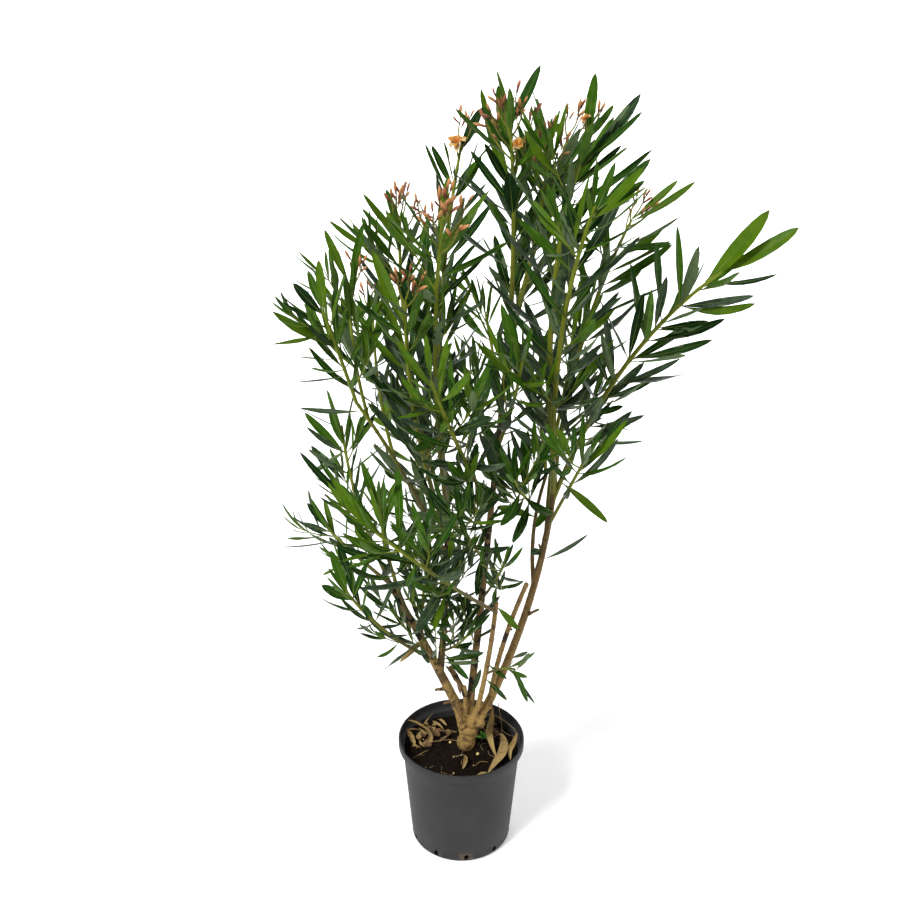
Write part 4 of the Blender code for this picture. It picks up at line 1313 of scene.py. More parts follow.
@dataclass
class WoodyFrame:
    """Root crown, stems and boughs in one skin, with bark relief, branch collars and leaf scars."""

    plan: Plan
    ring: float = 0.006
    sides: int = 16
    voxel: float = 0.0015
    collar: float = 0.20
    collar_reach: float = 0.012
    tip_knob: float = 1.12
    lumps: int = 22
    node_gap: float = 0.034
    scar_width: float = 0.0016
    plain_soot: float = 0.3
    cut_off: tuple[str, ...] = ("centre_thin", "inner_right", "left_brace", "left_stem")
    sooty: dict[str, float] = field(
        default_factory=lambda: {
            "left_upright": 1.0, "central_stem": 0.85, "inner_right": 0.6, "left_brace": 1.0, "left_stem": 0.75,
            "dead knuckle": 1.0, "left knuckle": 0.5, "right_stem": 0.12, "centre_thin": 0.2,
        }
    )
    lobes: tuple[tuple[Triple, Triple], ...] = (
        (mm(10, -1, 225), mm(19, 18, 21)),
        (mm(13, -1, 242), mm(18, 16.5, 17)),
        (mm(17, -2, 261), mm(20.5, 18, 17)),
        (mm(1, -11, 283), mm(11, 10, 21)),
        (mm(22, -12, 284), mm(11.5, 10, 17)),
        (mm(37, -8, 281), mm(12, 10.5, 17)),
        (mm(44, 2, 298), mm(9, 9, 13)),
        (mm(-2, 4, 294), mm(8.5, 8.5, 16)),
        (mm(18, 6, 294), mm(11.5, 10.5, 18)),
    )
    stubs: tuple[Stub, ...] = (
        Stub("right_stem", 0.42, (0.75, -0.45, 0.75), 0.034, 0.0034, 0.62),
        Stub("left_stem", 0.16, (-0.95, -0.20, 0.10), 0.020, 0.0036, 0.50),
        Stub("left_stem", 0.05, (-0.90, -0.35, 0.05), 0.016, 0.0034, 0.50),
        Stub("left_upright", 0.22, (0.80, -0.40, 0.60), 0.016, 0.0026, 0.60),
        Stub("central_stem", 0.30, (-0.70, -0.30, 0.80), 0.014, 0.0024, 0.60),
        Stub("central_stem", 0.47, (0.50, 0.70, 0.70), 0.018, 0.0026, 0.60),
        Stub("right_stem", 0.70, (-0.30, 0.80, 0.70), 0.016, 0.0026, 0.50),
        Stub("inner_right", 0.62, (0.60, -0.60, 0.50), 0.010, 0.0022, 0.70),
    )

    def axes(self) -> dict[str, Axis]:
        """The middle lines of all that is fused, stubs included, by name.

        Returns:
            An axis for each name.
        """
        found = {f"{name} knuckle": axis for name, axis in self.plan.knuckles.items()} | self.plan.limbs
        for i, stub in enumerate(self.stubs):
            limb = self.plan.limbs[stub.limb]
            foot, reach = limb.point(stub.along), stub.length + limb.radius(stub.along)
            tip = foot + Vector(stub.direction).normalized() * reach
            found[f"stub {i}"] = Axis(foot, tip, mm(0, 0, 1), (stub.radius, stub.radius * 0.8), (stub.age, stub.age))
        return found

    def add_tube(self, bm: BMesh, axis: Axis) -> None:
        """Adds a closed tube along the axis, with a collar at its foot.

        Args:
            bm: What it is added to.
            axis: Its middle line.
        """
        steps = max(4, round(axis.length / self.ring))
        radii = axis.girth(steps)
        if axis.swell == 1.0:
            radii *= 1 + self.collar * np.exp(-(np.arange(steps + 1) / steps) * axis.length / self.collar_reach)
        points, faces = tube(axis.line(steps), radii, self.sides)
        verts = [bm.verts.new(p) for p in points]
        for face in faces:
            bm.faces.new([verts[i] for i in face])
        bm.faces.new(verts[: self.sides][::-1])
        bm.faces.new(verts[-self.sides :])

    def add_lumps(self, bm: BMesh) -> None:
        """Adds the lobes of the root crown, with small knots on them, and a knob at each cut tip.

        Args:
            bm: What they are added to.
        """
        rng = Random("crown lumps")
        for i in range(self.lumps + len(self.lobes)):
            place, size = map(Vector, self.lobes[i % len(self.lobes)])
            if i >= len(self.lobes):
                outwards = Vector((rng.gauss(0, 1), rng.gauss(0, 1), rng.gauss(0, 0.7))).normalized()
                place += outwards * size * rng.uniform(0.62, 0.80)
                size = size * rng.uniform(0.34, 0.46)
            self.add_ball(bm, place, size)
        for name in self.cut_off:
            axis = self.plan.limbs[name]
            size = Vector((1, 1, 1)) * axis.radii[1] * self.tip_knob
            self.add_ball(bm, axis.tip - axis.heading(1.0) * axis.radii[1] * 0.8, size)

    @staticmethod
    def add_ball(bm: BMesh, place: Vector, size: Vector) -> None:
        """Adds a ball, stretched to these radii."""
        where = Matrix.Translation(place) @ Matrix.Diagonal((*size, 1.0))
        bmesh.ops.create_uvsphere(bm, u_segments=18, v_segments=12, radius=1.0, matrix=where)

    def skin(self) -> bpy.types.Mesh:
        """One smooth skin round all the tubes and knots.

        Returns:
            The skin.
        """
        bm = bmesh.new()
        for axis in self.axes().values():
            self.add_tube(bm, axis)
        self.add_lumps(bm)
        obj = closed("woody_tubes", bm)
        remesh = obj.modifiers.new("fuse", "REMESH")
        remesh.mode, remesh.voxel_size = "VOXEL", self.voxel
        soften = obj.modifiers.new("soften", "SMOOTH")
        soften.factor, soften.iterations = 0.5, 3
        return applied(obj)

    def nearest(self) -> tuple[KDTree, list[tuple[Axis, float, float]]]:
        """A search tree of places on the middle lines, and the axis, the share and the soot of each.

        Returns:
            The tree and, by the numbers that it gives, the samples.
        """
        samples = []
        for name, axis in self.axes().items():
            steps = max(6, round(axis.length / 0.004))
            samples += [(axis, i / steps, self.sooty.get(name, self.plain_soot)) for i in range(steps + 1)]
        tree = KDTree(len(samples))
        for i, (axis, share, _) in enumerate(samples):
            tree.insert(axis.point(share), i)
        tree.balance()
        return tree, samples

    def relief(self, place: Vector, axis: Axis, share: float) -> float:
        """How far the bark stands out at a place: knots and furrows on the crown, grain and scars above.

        Args:
            place: A place on the skin.
            axis: The nearest middle line.
            share: How far along it the place is.

        Returns:
            The height of the relief.
        """
        old = max(0.0, min(1.0, (axis.age(share) - 0.3) / 0.4))
        above = max(0.0, min(1.0, (place.z - SOIL_TOP - 0.07) / 0.09))
        grain = noise.noise(Vector((place.x * 330, place.y * 330, place.z * 60)))
        furrow = abs(noise.noise(Vector((place.x * 170, place.y * 170, place.z * 38 + 7.0))))
        lump = noise.noise(place * 70) + 0.5 * noise.noise(place * 170)
        crown = (1 - above) * (0.0019 * lump - 0.0008 * (0.35 - furrow))
        stem = old * (0.00030 * grain - 0.00045 * (0.4 - furrow)) + 0.00012 * noise.noise(place * 260)
        off = (share * axis.length / self.node_gap) % 1.0 - 0.5
        scar = above * 0.00050 * math.exp(-((off * self.node_gap / self.scar_width) ** 2))
        return crown + above * stem + scar

    def build(self) -> Object:
        """Fuses the skin, raises its relief and dresses it.

        Returns:
            The dressed skin.
        """
        mesh = self.skin()
        tree, samples = self.nearest()
        ages, hollows, soots = (np.empty(len(mesh.vertices)) for _ in range(3))
        moved = np.empty((len(mesh.vertices), 3))
        for i, vert in enumerate(mesh.vertices):
            axis, share, soots[i] = samples[tree.find(vert.co)[1]]
            relief = self.relief(vert.co, axis, share)
            # hollow is how deep the relief sinks, in millimetres; the bark darkens there as painted shade.
            ages[i], hollows[i] = axis.age(share), -relief * 1000
            moved[i] = vert.co + vert.normal * relief
        mesh.vertices.foreach_set("co", moved.astype(np.float32).ravel())
        for name, values in (("age", ages), ("hollow", hollows), ("soot", soots)):
            write_values(mesh, name, values)
        mesh.shade_smooth()
        return linked("woody_frame", mesh, BARK)


# --- Leaves ---


@dataclass(frozen=True)
class Leaf:
    """Where one leaf sits and how it is shaped.

    Its two directions are square to each other, and its bend is how far its tip lies off the straight, as a
    share of its length.
    """

    base: Vector
    along: Vector
    side: Vector
    bend: Vector
    length: float
    width: float
    fold: float
    twist: float
    wave: float


@dataclass
class LeafForm:
    """The lance-shaped leaf: folded along its midrib, bent, twisted and slightly wavy."""

    stations: tuple[float, ...] = (0.0, 0.07, 0.18, 0.33, 0.50, 0.67, 0.82, 0.93, 1.0)
    stalk: float = 0.13
    widest: float = 0.56
    foot_fullness: float = 1.05
    tip_fullness: float = 0.54
    tip: float = 0.03
    rib_width: float = 0.0014
    rib_depth: float = 0.0007
    thickness: float = 0.0005
    recurve: float = 0.14

    def __post_init__(self) -> None:
        """Works out what every leaf shares."""
        self.shares = np.array(self.stations)
        rising = np.sin(math.pi / 2 * np.clip(self.shares / self.widest, 0, 1)) ** self.foot_fullness
        falling = np.cos(math.pi / 2 * np.clip((self.shares - self.widest) / (1 - self.widest), 0, 1))
        outline = rising * np.maximum(falling, 0) ** self.tip_fullness
        self.outline = np.maximum(outline, np.where(self.shares < 0.5, self.stalk, self.tip))
        rows = len(self.stations)
        upper, lower = grid_quads(rows, 6)[:, ::-1], grid_quads(rows, 5) + rows * 6
        self.faces = np.concatenate([upper, lower])
        self.is_rib = np.concatenate([np.tile([0, 0, 1, 0, 0], rows - 1), np.tile([0, 1, 1, 0], rows - 1)]).astype(bool)
        self.is_under = np.arange(len(self.faces)) >= len(upper)
        self.proxy_faces = grid_quads(rows - 2, 3)

    def surface(self, leaf: Leaf) -> tuple[Array, Array]:
        """Shapes one leaf.

        Args:
            leaf: Its place and shape.

        Returns:
            Its points, row by row, the upper face's six to a row before the lower face's five, and for each
            point its place along and across the blade.
        """
        s = self.shares[:, None]
        base, along, side, bend = map(np.array, (leaf.base, leaf.along, leaf.side, leaf.bend))
        spine = base + leaf.length * (along * s + bend * s * s)
        tangent = unit(along + 2 * bend * s)
        across = unit(side - tangent * (tangent @ side)[:, None])
        across, over = twisted(across, np.cross(tangent, across), leaf.twist * s)
        half = self.outline * leaf.width / 2
        rib = np.minimum(0.4, self.rib_width / 2 * (1 - 0.7 * self.shares) / half)
        one = np.ones_like(rib)
        upper_x = np.stack([-one, -0.52 * one, -rib, rib, 0.52 * one, one], axis=1)
        lower_x = np.stack([-one, -rib * 1.3, 0 * one, rib * 1.3, one], axis=1)
        ripple = leaf.wave * np.sin(self.shares * 9.0 + leaf.twist * 5)
        points, blades = [], []
        for xs, under in ((upper_x, False), (lower_x, True)):
            lift = leaf.fold * np.abs(xs) * (1 - self.recurve * np.abs(xs)) + ripple[:, None] * xs**3
            flat, height = xs * half[:, None], lift * half[:, None]
            if under:
                height[:, 1:4] -= self.thickness
                height[:, 2] -= self.rib_depth * (1 - self.shares)
            points.append(spread_out(spine, across, over, flat, height))
            blades.append(np.stack([np.broadcast_to(s * leaf.length, xs.shape), flat], axis=-1).reshape(-1, 2))
        return np.concatenate(points), np.concatenate(blades)

    def proxy(self, points: Array) -> BVHTree:
        """A light stand-in for the leaf's outer part, for the test of free space.

        Args:
            points: The leaf's points.

        Returns:
            Its search tree.
        """
        rows = len(self.stations)
        outer = points[: rows * 6].reshape(rows, 6, 3)[2:, [0, 2, 5]].reshape(-1, 3)
        return search_tree(outer, self.proxy_faces)


class Room:
    """What already grows in the crown, and the test that keeps a new leaf clear of it."""

    def __init__(self, limit: tuple[Vector, Vector], slack: float) -> None:
        """Starts with an empty crown inside the limit, grown by the slack.

        Args:
            limit: Two opposite corners.
            slack: How far past them leaves may reach.
        """
        self.low, self.high = np.array(limit[0]) - slack, np.array(limit[1]) + slack
        self.middles = np.zeros((0, 3))
        self.reaches = np.zeros(0)
        self.trees: list[BVHTree] = []

    @staticmethod
    def ball(points: Array) -> tuple[Array, float]:
        """The middle and the radius of a ball round the points."""
        middle = (points.min(axis=0) + points.max(axis=0)) / 2
        return middle, np.linalg.norm(points - middle, axis=1).max()

    def take(self, points: Array, tree: BVHTree) -> None:
        """Adds what now grows there.

        Args:
            points: Its points.
            tree: Its search tree.
        """
        middle, reach = self.ball(points)
        self.middles = np.vstack([self.middles, middle])
        self.reaches = np.append(self.reaches, reach)
        self.trees.append(tree)

    def inside(self, points: Array) -> bool:
        """Whether the points keep within the limit."""
        return bool((points >= self.low).all() and (points <= self.high).all())

    def free(self, points: Array, tree: BVHTree) -> bool:
        """Whether nothing that grows there meets the new piece.

        Args:
            points: The new piece's points.
            tree: Its search tree.

        Returns:
            Whether it stands free.
        """
        middle, reach = self.ball(points)
        near = np.nonzero(np.linalg.norm(self.middles - middle, axis=1) < self.reaches + reach)[0]
        return not any(self.trees[i].overlap(tree) for i in near)


# --- Shoots ---


@dataclass
class Habit:
    """How the plant's leaves, twigs and stems grow, whatever the shoot."""

    whorl: float = 0.048
    first_gap: float = 0.025
    opening: float = 1.34
    below_tip: float = 0.005
    below_buds: float = 0.056
    tip_spread: float = math.radians(19)
    spread_rate: float = math.radians(520)
    spread_jitter: float = math.radians(12)
    turn_jitter: float = math.radians(17)
    youngest: float = 0.52
    grown_at: float = 0.042
    sizes: tuple[float, float] = (0.74, 1.14)
    low_width: float = 0.150
    high_width: float = 0.152
    width_jitter: tuple[float, float] = (0.84, 1.14)
    fold: float = 0.26
    young_fold: float = 0.40
    young_until: float = 0.06
    rise: float = 0.28
    low_rise: float = 0.32
    low_level: float = 0.62
    high_level: float = 1.12
    twig_angle: float = math.radians(40)
    twig_length: float = 0.082
    twig_leaf: float = 0.80
    twig_leafy: float = 0.86
    twig_radius: float = 0.0016
    twig_tip: float = 0.0009
    twig_top: float = 0.80
    twig_span: float = 0.62
    twig_bow: float = 0.06
    twig_lift: float = 0.12
    wisp_leaf: float = 0.070
    wisp_leafy: float = 0.80
    wisp_spread: float = math.radians(72)
    extra_twigs: int = 2
    twiggy_from: float = 0.16
    twig_tries: int = 7
    sprig_share: float = 0.16
    node_swell: float = 0.20
    node_length: float = 0.0035
    stem_ring: float = 0.007
    stem_sides: int = 9
    leaf_seat: float = 0.7
    crown_middle: float = 0.04
    crown_reach: float = 0.27
    tone_start: float = 0.95
    tone_depth: float = 0.075
    # Painted shade and painted light: how many tones darker the crown's foot is, and how many lighter its rim.
    shaded_tones: float = 1.7
    sunlit_tones: float = 1.2
    light: Triple = (-0.08, -0.50, 0.52)
    tries: tuple[tuple[float, float], ...] = ((0, 1.0), (20, 1.0), (-20, 0.96), (38, 0.9), (-38, 0.84), (55, 0.72))


@dataclass
class Mass:
    """What all leaves of one shoot share: the side they count to, how far they reach, and random numbers."""

    side: Side
    limit: Room
    rng: Random


@dataclass
class Crown:
    """All leafy shoots: their stems, twigs and leaves, joined by kind and by side of the plant."""

    plan: Plan
    habit: Habit = field(default_factory=Habit)
    form: LeafForm = field(default_factory=LeafForm)
    slack: float = 0.012
    leaves: dict[Side, MeshStore] = field(default_factory=dict)
    stems: dict[Side, MeshStore] = field(default_factory=dict)

    def __post_init__(self) -> None:
        """Opens the stores."""
        self.room = Room(CAD_BOX, 0.004)
        for side in Side:
            self.leaves[side], self.stems[side] = MeshStore(*LEAF_FINISHES), MeshStore(BARK)

    def vigour(self, place: Vector) -> float:
        """0 for the shaded foot of the crown, rising to 1 for its top.

        Args:
            place: A place in the crown.

        Returns:
            Its vigour.
        """
        share = (place.z - self.habit.low_level) / (self.habit.high_level - self.habit.low_level)
        share = max(0.0, min(1.0, share))
        return share * share * (3 - 2 * share)

    def whorls(self, length: float, leafy: float, first: float) -> Iterator[float]:
        """Distances from the tip down to each whorl, closer together near the tip.

        Args:
            length: The stem's length.
            leafy: The share of it that bears leaves.
            first: The top whorl's distance.

        Yields:
            Each distance.
        """
        back, gap = first, self.habit.first_gap
        while back < length * leafy:
            yield back
            back += gap
            gap = min(gap * self.habit.opening, self.habit.whorl)

    def tint(self, place: Vector, back: float, rng: Random) -> Tint:
        """The leaf's tone, from its distance below the tip and, as painted shade and painted light, how deep in the
        crown it stands: darker low and near the middle, lighter out at the rim.

        Args:
            place: Where the leaf starts.
            back: Its distance below the tip.
            rng: The shoot's random numbers.

        Returns:
            The tone.
        """
        habit, tones = self.habit, list(Tint)
        # Painted light and shade: leaves out at the crown's rim take lighter tones, leaves low in the crown darker
        # ones.
        outer = min(1.0, math.hypot(place.x - habit.crown_middle, place.y) / habit.crown_reach) ** 2
        depth = habit.tone_start + back / habit.tone_depth + (1 - self.vigour(place)) * habit.shaded_tones
        depth = depth - habit.sunlit_tones * outer + rng.gauss(0, 1.0)
        return tones[max(0, min(len(tones) - 1, int(depth)))]

    def add_leaf(self, side: Side, points: Array, blades: Array, tint: Tint) -> None:
        """Stores one leaf's faces in its tone.

        Args:
            side: The side that it counts to.
            points: Its points.
            blades: Their places on the blade.
            tint: Its tone.
        """
        store = self.leaves[side]
        under = UNDER_YOUNG if tint in (Tint.YOUNG, Tint.FRESH) else UNDER
        slots = np.where(self.form.is_under, store.slot_of(under), store.slot_of(tint.value))
        slots = np.where(self.form.is_rib, store.slot_of(RIB), slots)
        store.add(points, self.form.faces, slots, blades[:, 0] / blades[:, 0].max(), blades)

    def set_leaf(
        self, mass: Mass, stem: Axis, share: float, turn: float, spread: float, length: float, back: float
    ) -> None:
        """Sets one leaf on the stem, if it finds free room.

        Args:
            mass: What it belongs to.
            stem: What it grows on.
            share: Where on the stem.
            turn: Its turn round the stem.
            spread: Its angle from the stem.
            length: Its length.
            back: The distance from its base to the stem's tip.
        """
        habit, rng = self.habit, mass.rng
        heading, centre = stem.heading(share), stem.point(share)
        vigour = self.vigour(centre)
        young = max(0.0, 1 - back / habit.young_until)
        width = (habit.low_width + (habit.high_width - habit.low_width) * vigour) * rng.uniform(*habit.width_jitter)
        fold = habit.fold + habit.young_fold * young + rng.uniform(-0.12, 0.12)
        rise = habit.low_rise + (habit.rise - habit.low_rise) * vigour + rng.gauss(0, 0.11)
        sweep, twist, wave = rng.uniform(-0.10, 0.10), rng.gauss(0, 0.40), rng.uniform(0.0, 0.22)
        tint = self.tint(centre, back, rng)
        for nudge, scale in habit.tries:
            outwards = aside(heading, turn + math.radians(nudge))
            along = leant(heading, outwards, spread).normalized()
            upper = heading * math.sin(spread) - outwards * math.cos(spread) + Vector(habit.light)
            upper = (upper - along * upper.dot(along)).normalized()
            across = upper.cross(along)
            bend = Vector((0, 0, rise * math.hypot(along.x, along.y))) + across * sweep
            base, size = centre + outwards * stem.radius(share) * habit.leaf_seat, length * scale
            points, blades = self.form.surface(Leaf(base, along, across, bend, size, size * width, fold, twist, wave))
            if not (mass.limit.inside(points) and self.room.inside(points)):
                continue
            tree = self.form.proxy(points)
            if self.room.free(points, tree):
                self.room.take(points, tree)
                self.add_leaf(mass.side, points, blades, tint)
                return

    def set_lead(self, lead: LeadLeaf) -> None:
        """Sets one leaf that is placed singly.

        Args:
            lead: The leaf's row.
        """
        rng = Random(f"{lead.stem} {lead.tip}")
        stem = self.plan.shoots.get(lead.stem) or self.plan.limbs[lead.stem]
        heading, centre = stem.heading(lead.along), stem.point(lead.along)
        chord = Vector(lead.tip) - centre
        outwards = (chord - heading * chord.dot(heading)).normalized()
        base = centre + outwards * stem.radius(lead.along) * self.habit.leaf_seat
        chord = Vector(lead.tip) - base
        bend = Vector((0, 0, lead.rise))
        along = chord / chord.length - bend
        facing = Matrix.Rotation(math.radians(lead.roll), 3, chord) @ Vector(self.habit.light)
        upper = (facing - along * facing.dot(along) / along.length_squared).normalized()
        across = upper.cross(along).normalized()
        fold, twist, wave = rng.uniform(0.15, 0.35), rng.uniform(-0.25, 0.25), rng.uniform(0.0, 0.12)
        leaf = Leaf(base, along, across, bend, chord.length, lead.width, fold, twist, wave)
        points, blades = self.form.surface(leaf)
        self.room.take(points, self.form.proxy(points))
        self.add_leaf(Side.of(lead.stem), points, blades, lead.tint)

    def clothe(
        self, mass: Mass, stem: Axis, leafy: float, full: float, widest: float, turn: float, first: float,
        spare: int = 0,
    ) -> list[float]:
        """Sets the whorls of leaves along one stem.

        Args:
            mass: What they belong to.
            stem: What they grow on.
            leafy: The share of it that bears leaves.
            full: The length of a grown leaf.
            widest: The furthest spread.
            turn: The turn of the top whorl.
            first: The top whorl's distance from the tip.
            spare: How many leaves at the top are left out.

        Returns:
            The shares of the stem at which whorls stand.
        """
        shares = []
        habit, rng = self.habit, mass.rng
        for i, back in enumerate(self.whorls(stem.length, leafy, first)):
            shares.append(1 - back / stem.length)
            spread = min(habit.tip_spread + habit.spread_rate * back, widest)
            growth = habit.youngest + (1 - habit.youngest) * min(1.0, back / habit.grown_at)
            for j in range(3):
                around = turn + i * math.pi / 3 + j * 2 * math.pi / 3 + rng.uniform(-1, 1) * habit.turn_jitter
                tilt = spread + rng.uniform(-1, 1) * habit.spread_jitter
                length = full * growth * rng.uniform(*habit.sizes)
                if 3 * i + j >= spare:
                    self.set_leaf(mass, stem, shares[-1], around, tilt, length, back)
        return shares

    def add_stem(self, side: Side, axis: Axis, nodes: Sequence[float]) -> None:
        """Stores a stem's skin, a little swollen where its whorls stand.

        Args:
            side: The side that it counts to.
            axis: Its middle line.
            nodes: The shares of it where whorls stand.
        """
        habit = self.habit
        steps = max(4, round(axis.length / habit.stem_ring))
        shares, radii = np.arange(steps + 1) / steps, axis.girth(steps)
        for node in nodes:
            radii *= 1 + habit.node_swell * np.exp(-(((shares - node) * axis.length / habit.node_length) ** 2))
        radii[-1] *= 0.15
        ages = np.repeat([axis.age(s) for s in shares], habit.stem_sides)
        self.stems[side].add(*tube(axis.line(steps), radii, habit.stem_sides), ages=ages)

    def claim_stem(self, axis: Axis, start: float = 0.0) -> tuple[Array, BVHTree]:
        """A thin tube along the stem from a share of it, as points and a search tree.

        Args:
            axis: The stem's middle line.
            start: The share of it where the tube starts.

        Returns:
            The tube's points and its search tree.
        """
        points, faces = tube(axis.line(8, start), axis.girth(8) + 0.0006, 5)
        return points, search_tree(points, faces)

    def grow_twigs(self, mass: Mass, lead: Axis, shoot: Shoot) -> list[Axis]:
        """The shoot's side twigs along its own stem, each turned on until it stands free.

        Args:
            mass: What they belong to.
            lead: The shoot's middle line.
            shoot: The shoot's row.

        Returns:
            Their middle lines.
        """
        habit, rng, twigs = self.habit, mass.rng, []
        count = max(0, shoot.twigs + (habit.extra_twigs if lead.length > habit.twiggy_from else 0))
        for i in range(count):
            share = habit.twig_top - habit.twig_span * i / max(1, count - 1) * shoot.leafy + rng.uniform(-0.05, 0.05)
            length = habit.twig_length * rng.uniform(0.6, 1.25)
            heading, foot = lead.heading(share), lead.point(share)
            for attempt in range(habit.twig_tries):
                outwards = aside(heading, math.radians(shoot.turn) + GOLDEN_TURN * (i + attempt + 1))
                tip = foot + leant(heading, outwards, habit.twig_angle) * length
                tip += Vector((0, 0, habit.twig_lift * length))
                radii, ages = (habit.twig_radius, habit.twig_tip), (lead.age(share), 0.0)
                twig = Axis(foot, tip, outwards * habit.twig_bow * length, radii, ages)
                points, tree = self.claim_stem(twig, 0.25)
                if mass.limit.inside(points) and self.room.free(points, tree):
                    self.room.take(points, tree)
                    twigs.append(twig)
                    break
        return twigs

    def grow_sprigs(self, mass: Mass, stem: Axis, shares: Sequence[float], full: float) -> None:
        """Sets pairs of small new leaves in some of the whorls' axils.

        Args:
            mass: What they belong to.
            stem: What they grow on.
            shares: Where its whorls stand.
            full: The length of a grown leaf.
        """
        for share in shares:
            if mass.rng.random() > self.habit.sprig_share:
                continue
            turn = mass.rng.uniform(0, math.tau)
            for j in range(2):
                length = full * mass.rng.uniform(0.22, 0.38)
                tilt = math.radians(mass.rng.uniform(18, 42))
                self.set_leaf(mass, stem, share, turn + j * 0.9, tilt, length, 0.01)

    def grow(self, name: str, shoot: Shoot) -> None:
        """Grows one shoot with its twigs and leaves.

        Args:
            name: The shoot's name.
            shoot: Its row.
        """
        habit, lead = self.habit, self.plan.shoots[name]
        mass = Mass(Side.of(name), Room(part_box(name), self.slack), Random(name))
        first = habit.below_buds if shoot.buds and not shoot.drop else habit.below_tip
        widest, turn = math.radians(shoot.spread), math.radians(shoot.turn)
        spare = sum(leaf.stem == name and leaf.along > 0.7 for leaf in LEAD_LEAVES)
        shares = self.clothe(mass, lead, shoot.leafy, shoot.leaf, widest, turn, first, spare)
        self.add_stem(mass.side, lead, shares)
        for twig in self.grow_twigs(mass, lead, shoot):
            full, around = shoot.leaf * habit.twig_leaf, mass.rng.uniform(0, math.tau)
            nodes = self.clothe(mass, twig, habit.twig_leafy, full, widest, around, habit.below_tip)
            self.add_stem(mass.side, twig, nodes)
        self.grow_sprigs(mass, lead, shares, shoot.leaf)

    def grow_wisp(self, wisp: Wisp) -> None:
        """Grows one thin twig with its small leaves, low on a limb.

        Args:
            wisp: The twig's row.
        """
        mass = Mass(Side.of(wisp.limb), self.room, Random(f"{wisp.limb} {wisp.tip}"))
        habit, foot = self.habit, self.plan.limbs[wisp.limb].point(wisp.along)
        twig = Axis(foot, wisp.tip, mm(0, 0, -6), (habit.twig_radius * 0.8, 0.0008), (0.25, 0.0))
        turn = mass.rng.uniform(0, math.tau)
        size = (habit.wisp_leafy, habit.wisp_leaf, habit.wisp_spread)
        self.add_stem(mass.side, twig, self.clothe(mass, twig, *size, turn, habit.below_tip))

    def build(self) -> dict[Side, list[Object]]:
        """Grows every shoot and joins the leaves and the stems of each side.

        Returns:
            Each side's leaves and stems.
        """
        plan = self.plan
        for axis in [*plan.knuckles.values(), *plan.limbs.values(), *plan.shoots.values()]:
            self.room.take(*self.claim_stem(axis))
        for lead in LEAD_LEAVES:
            self.set_lead(lead)
        for name, shoot in SHOOTS.items():
            self.grow(name, shoot)
        for wisp in WISPS:
            self.grow_wisp(wisp)
        made = {}
        for side in Side:
            word = side.name.lower()
            made[side] = [self.leaves[side].piece(f"leaves_{word}"), self.stems[side].piece(f"shoot_stems_{word}")]
            log.info("%s leaves: %d", word, len(self.leaves[side].faces) // len(self.form.faces))
        return made


# --- Blossom ---


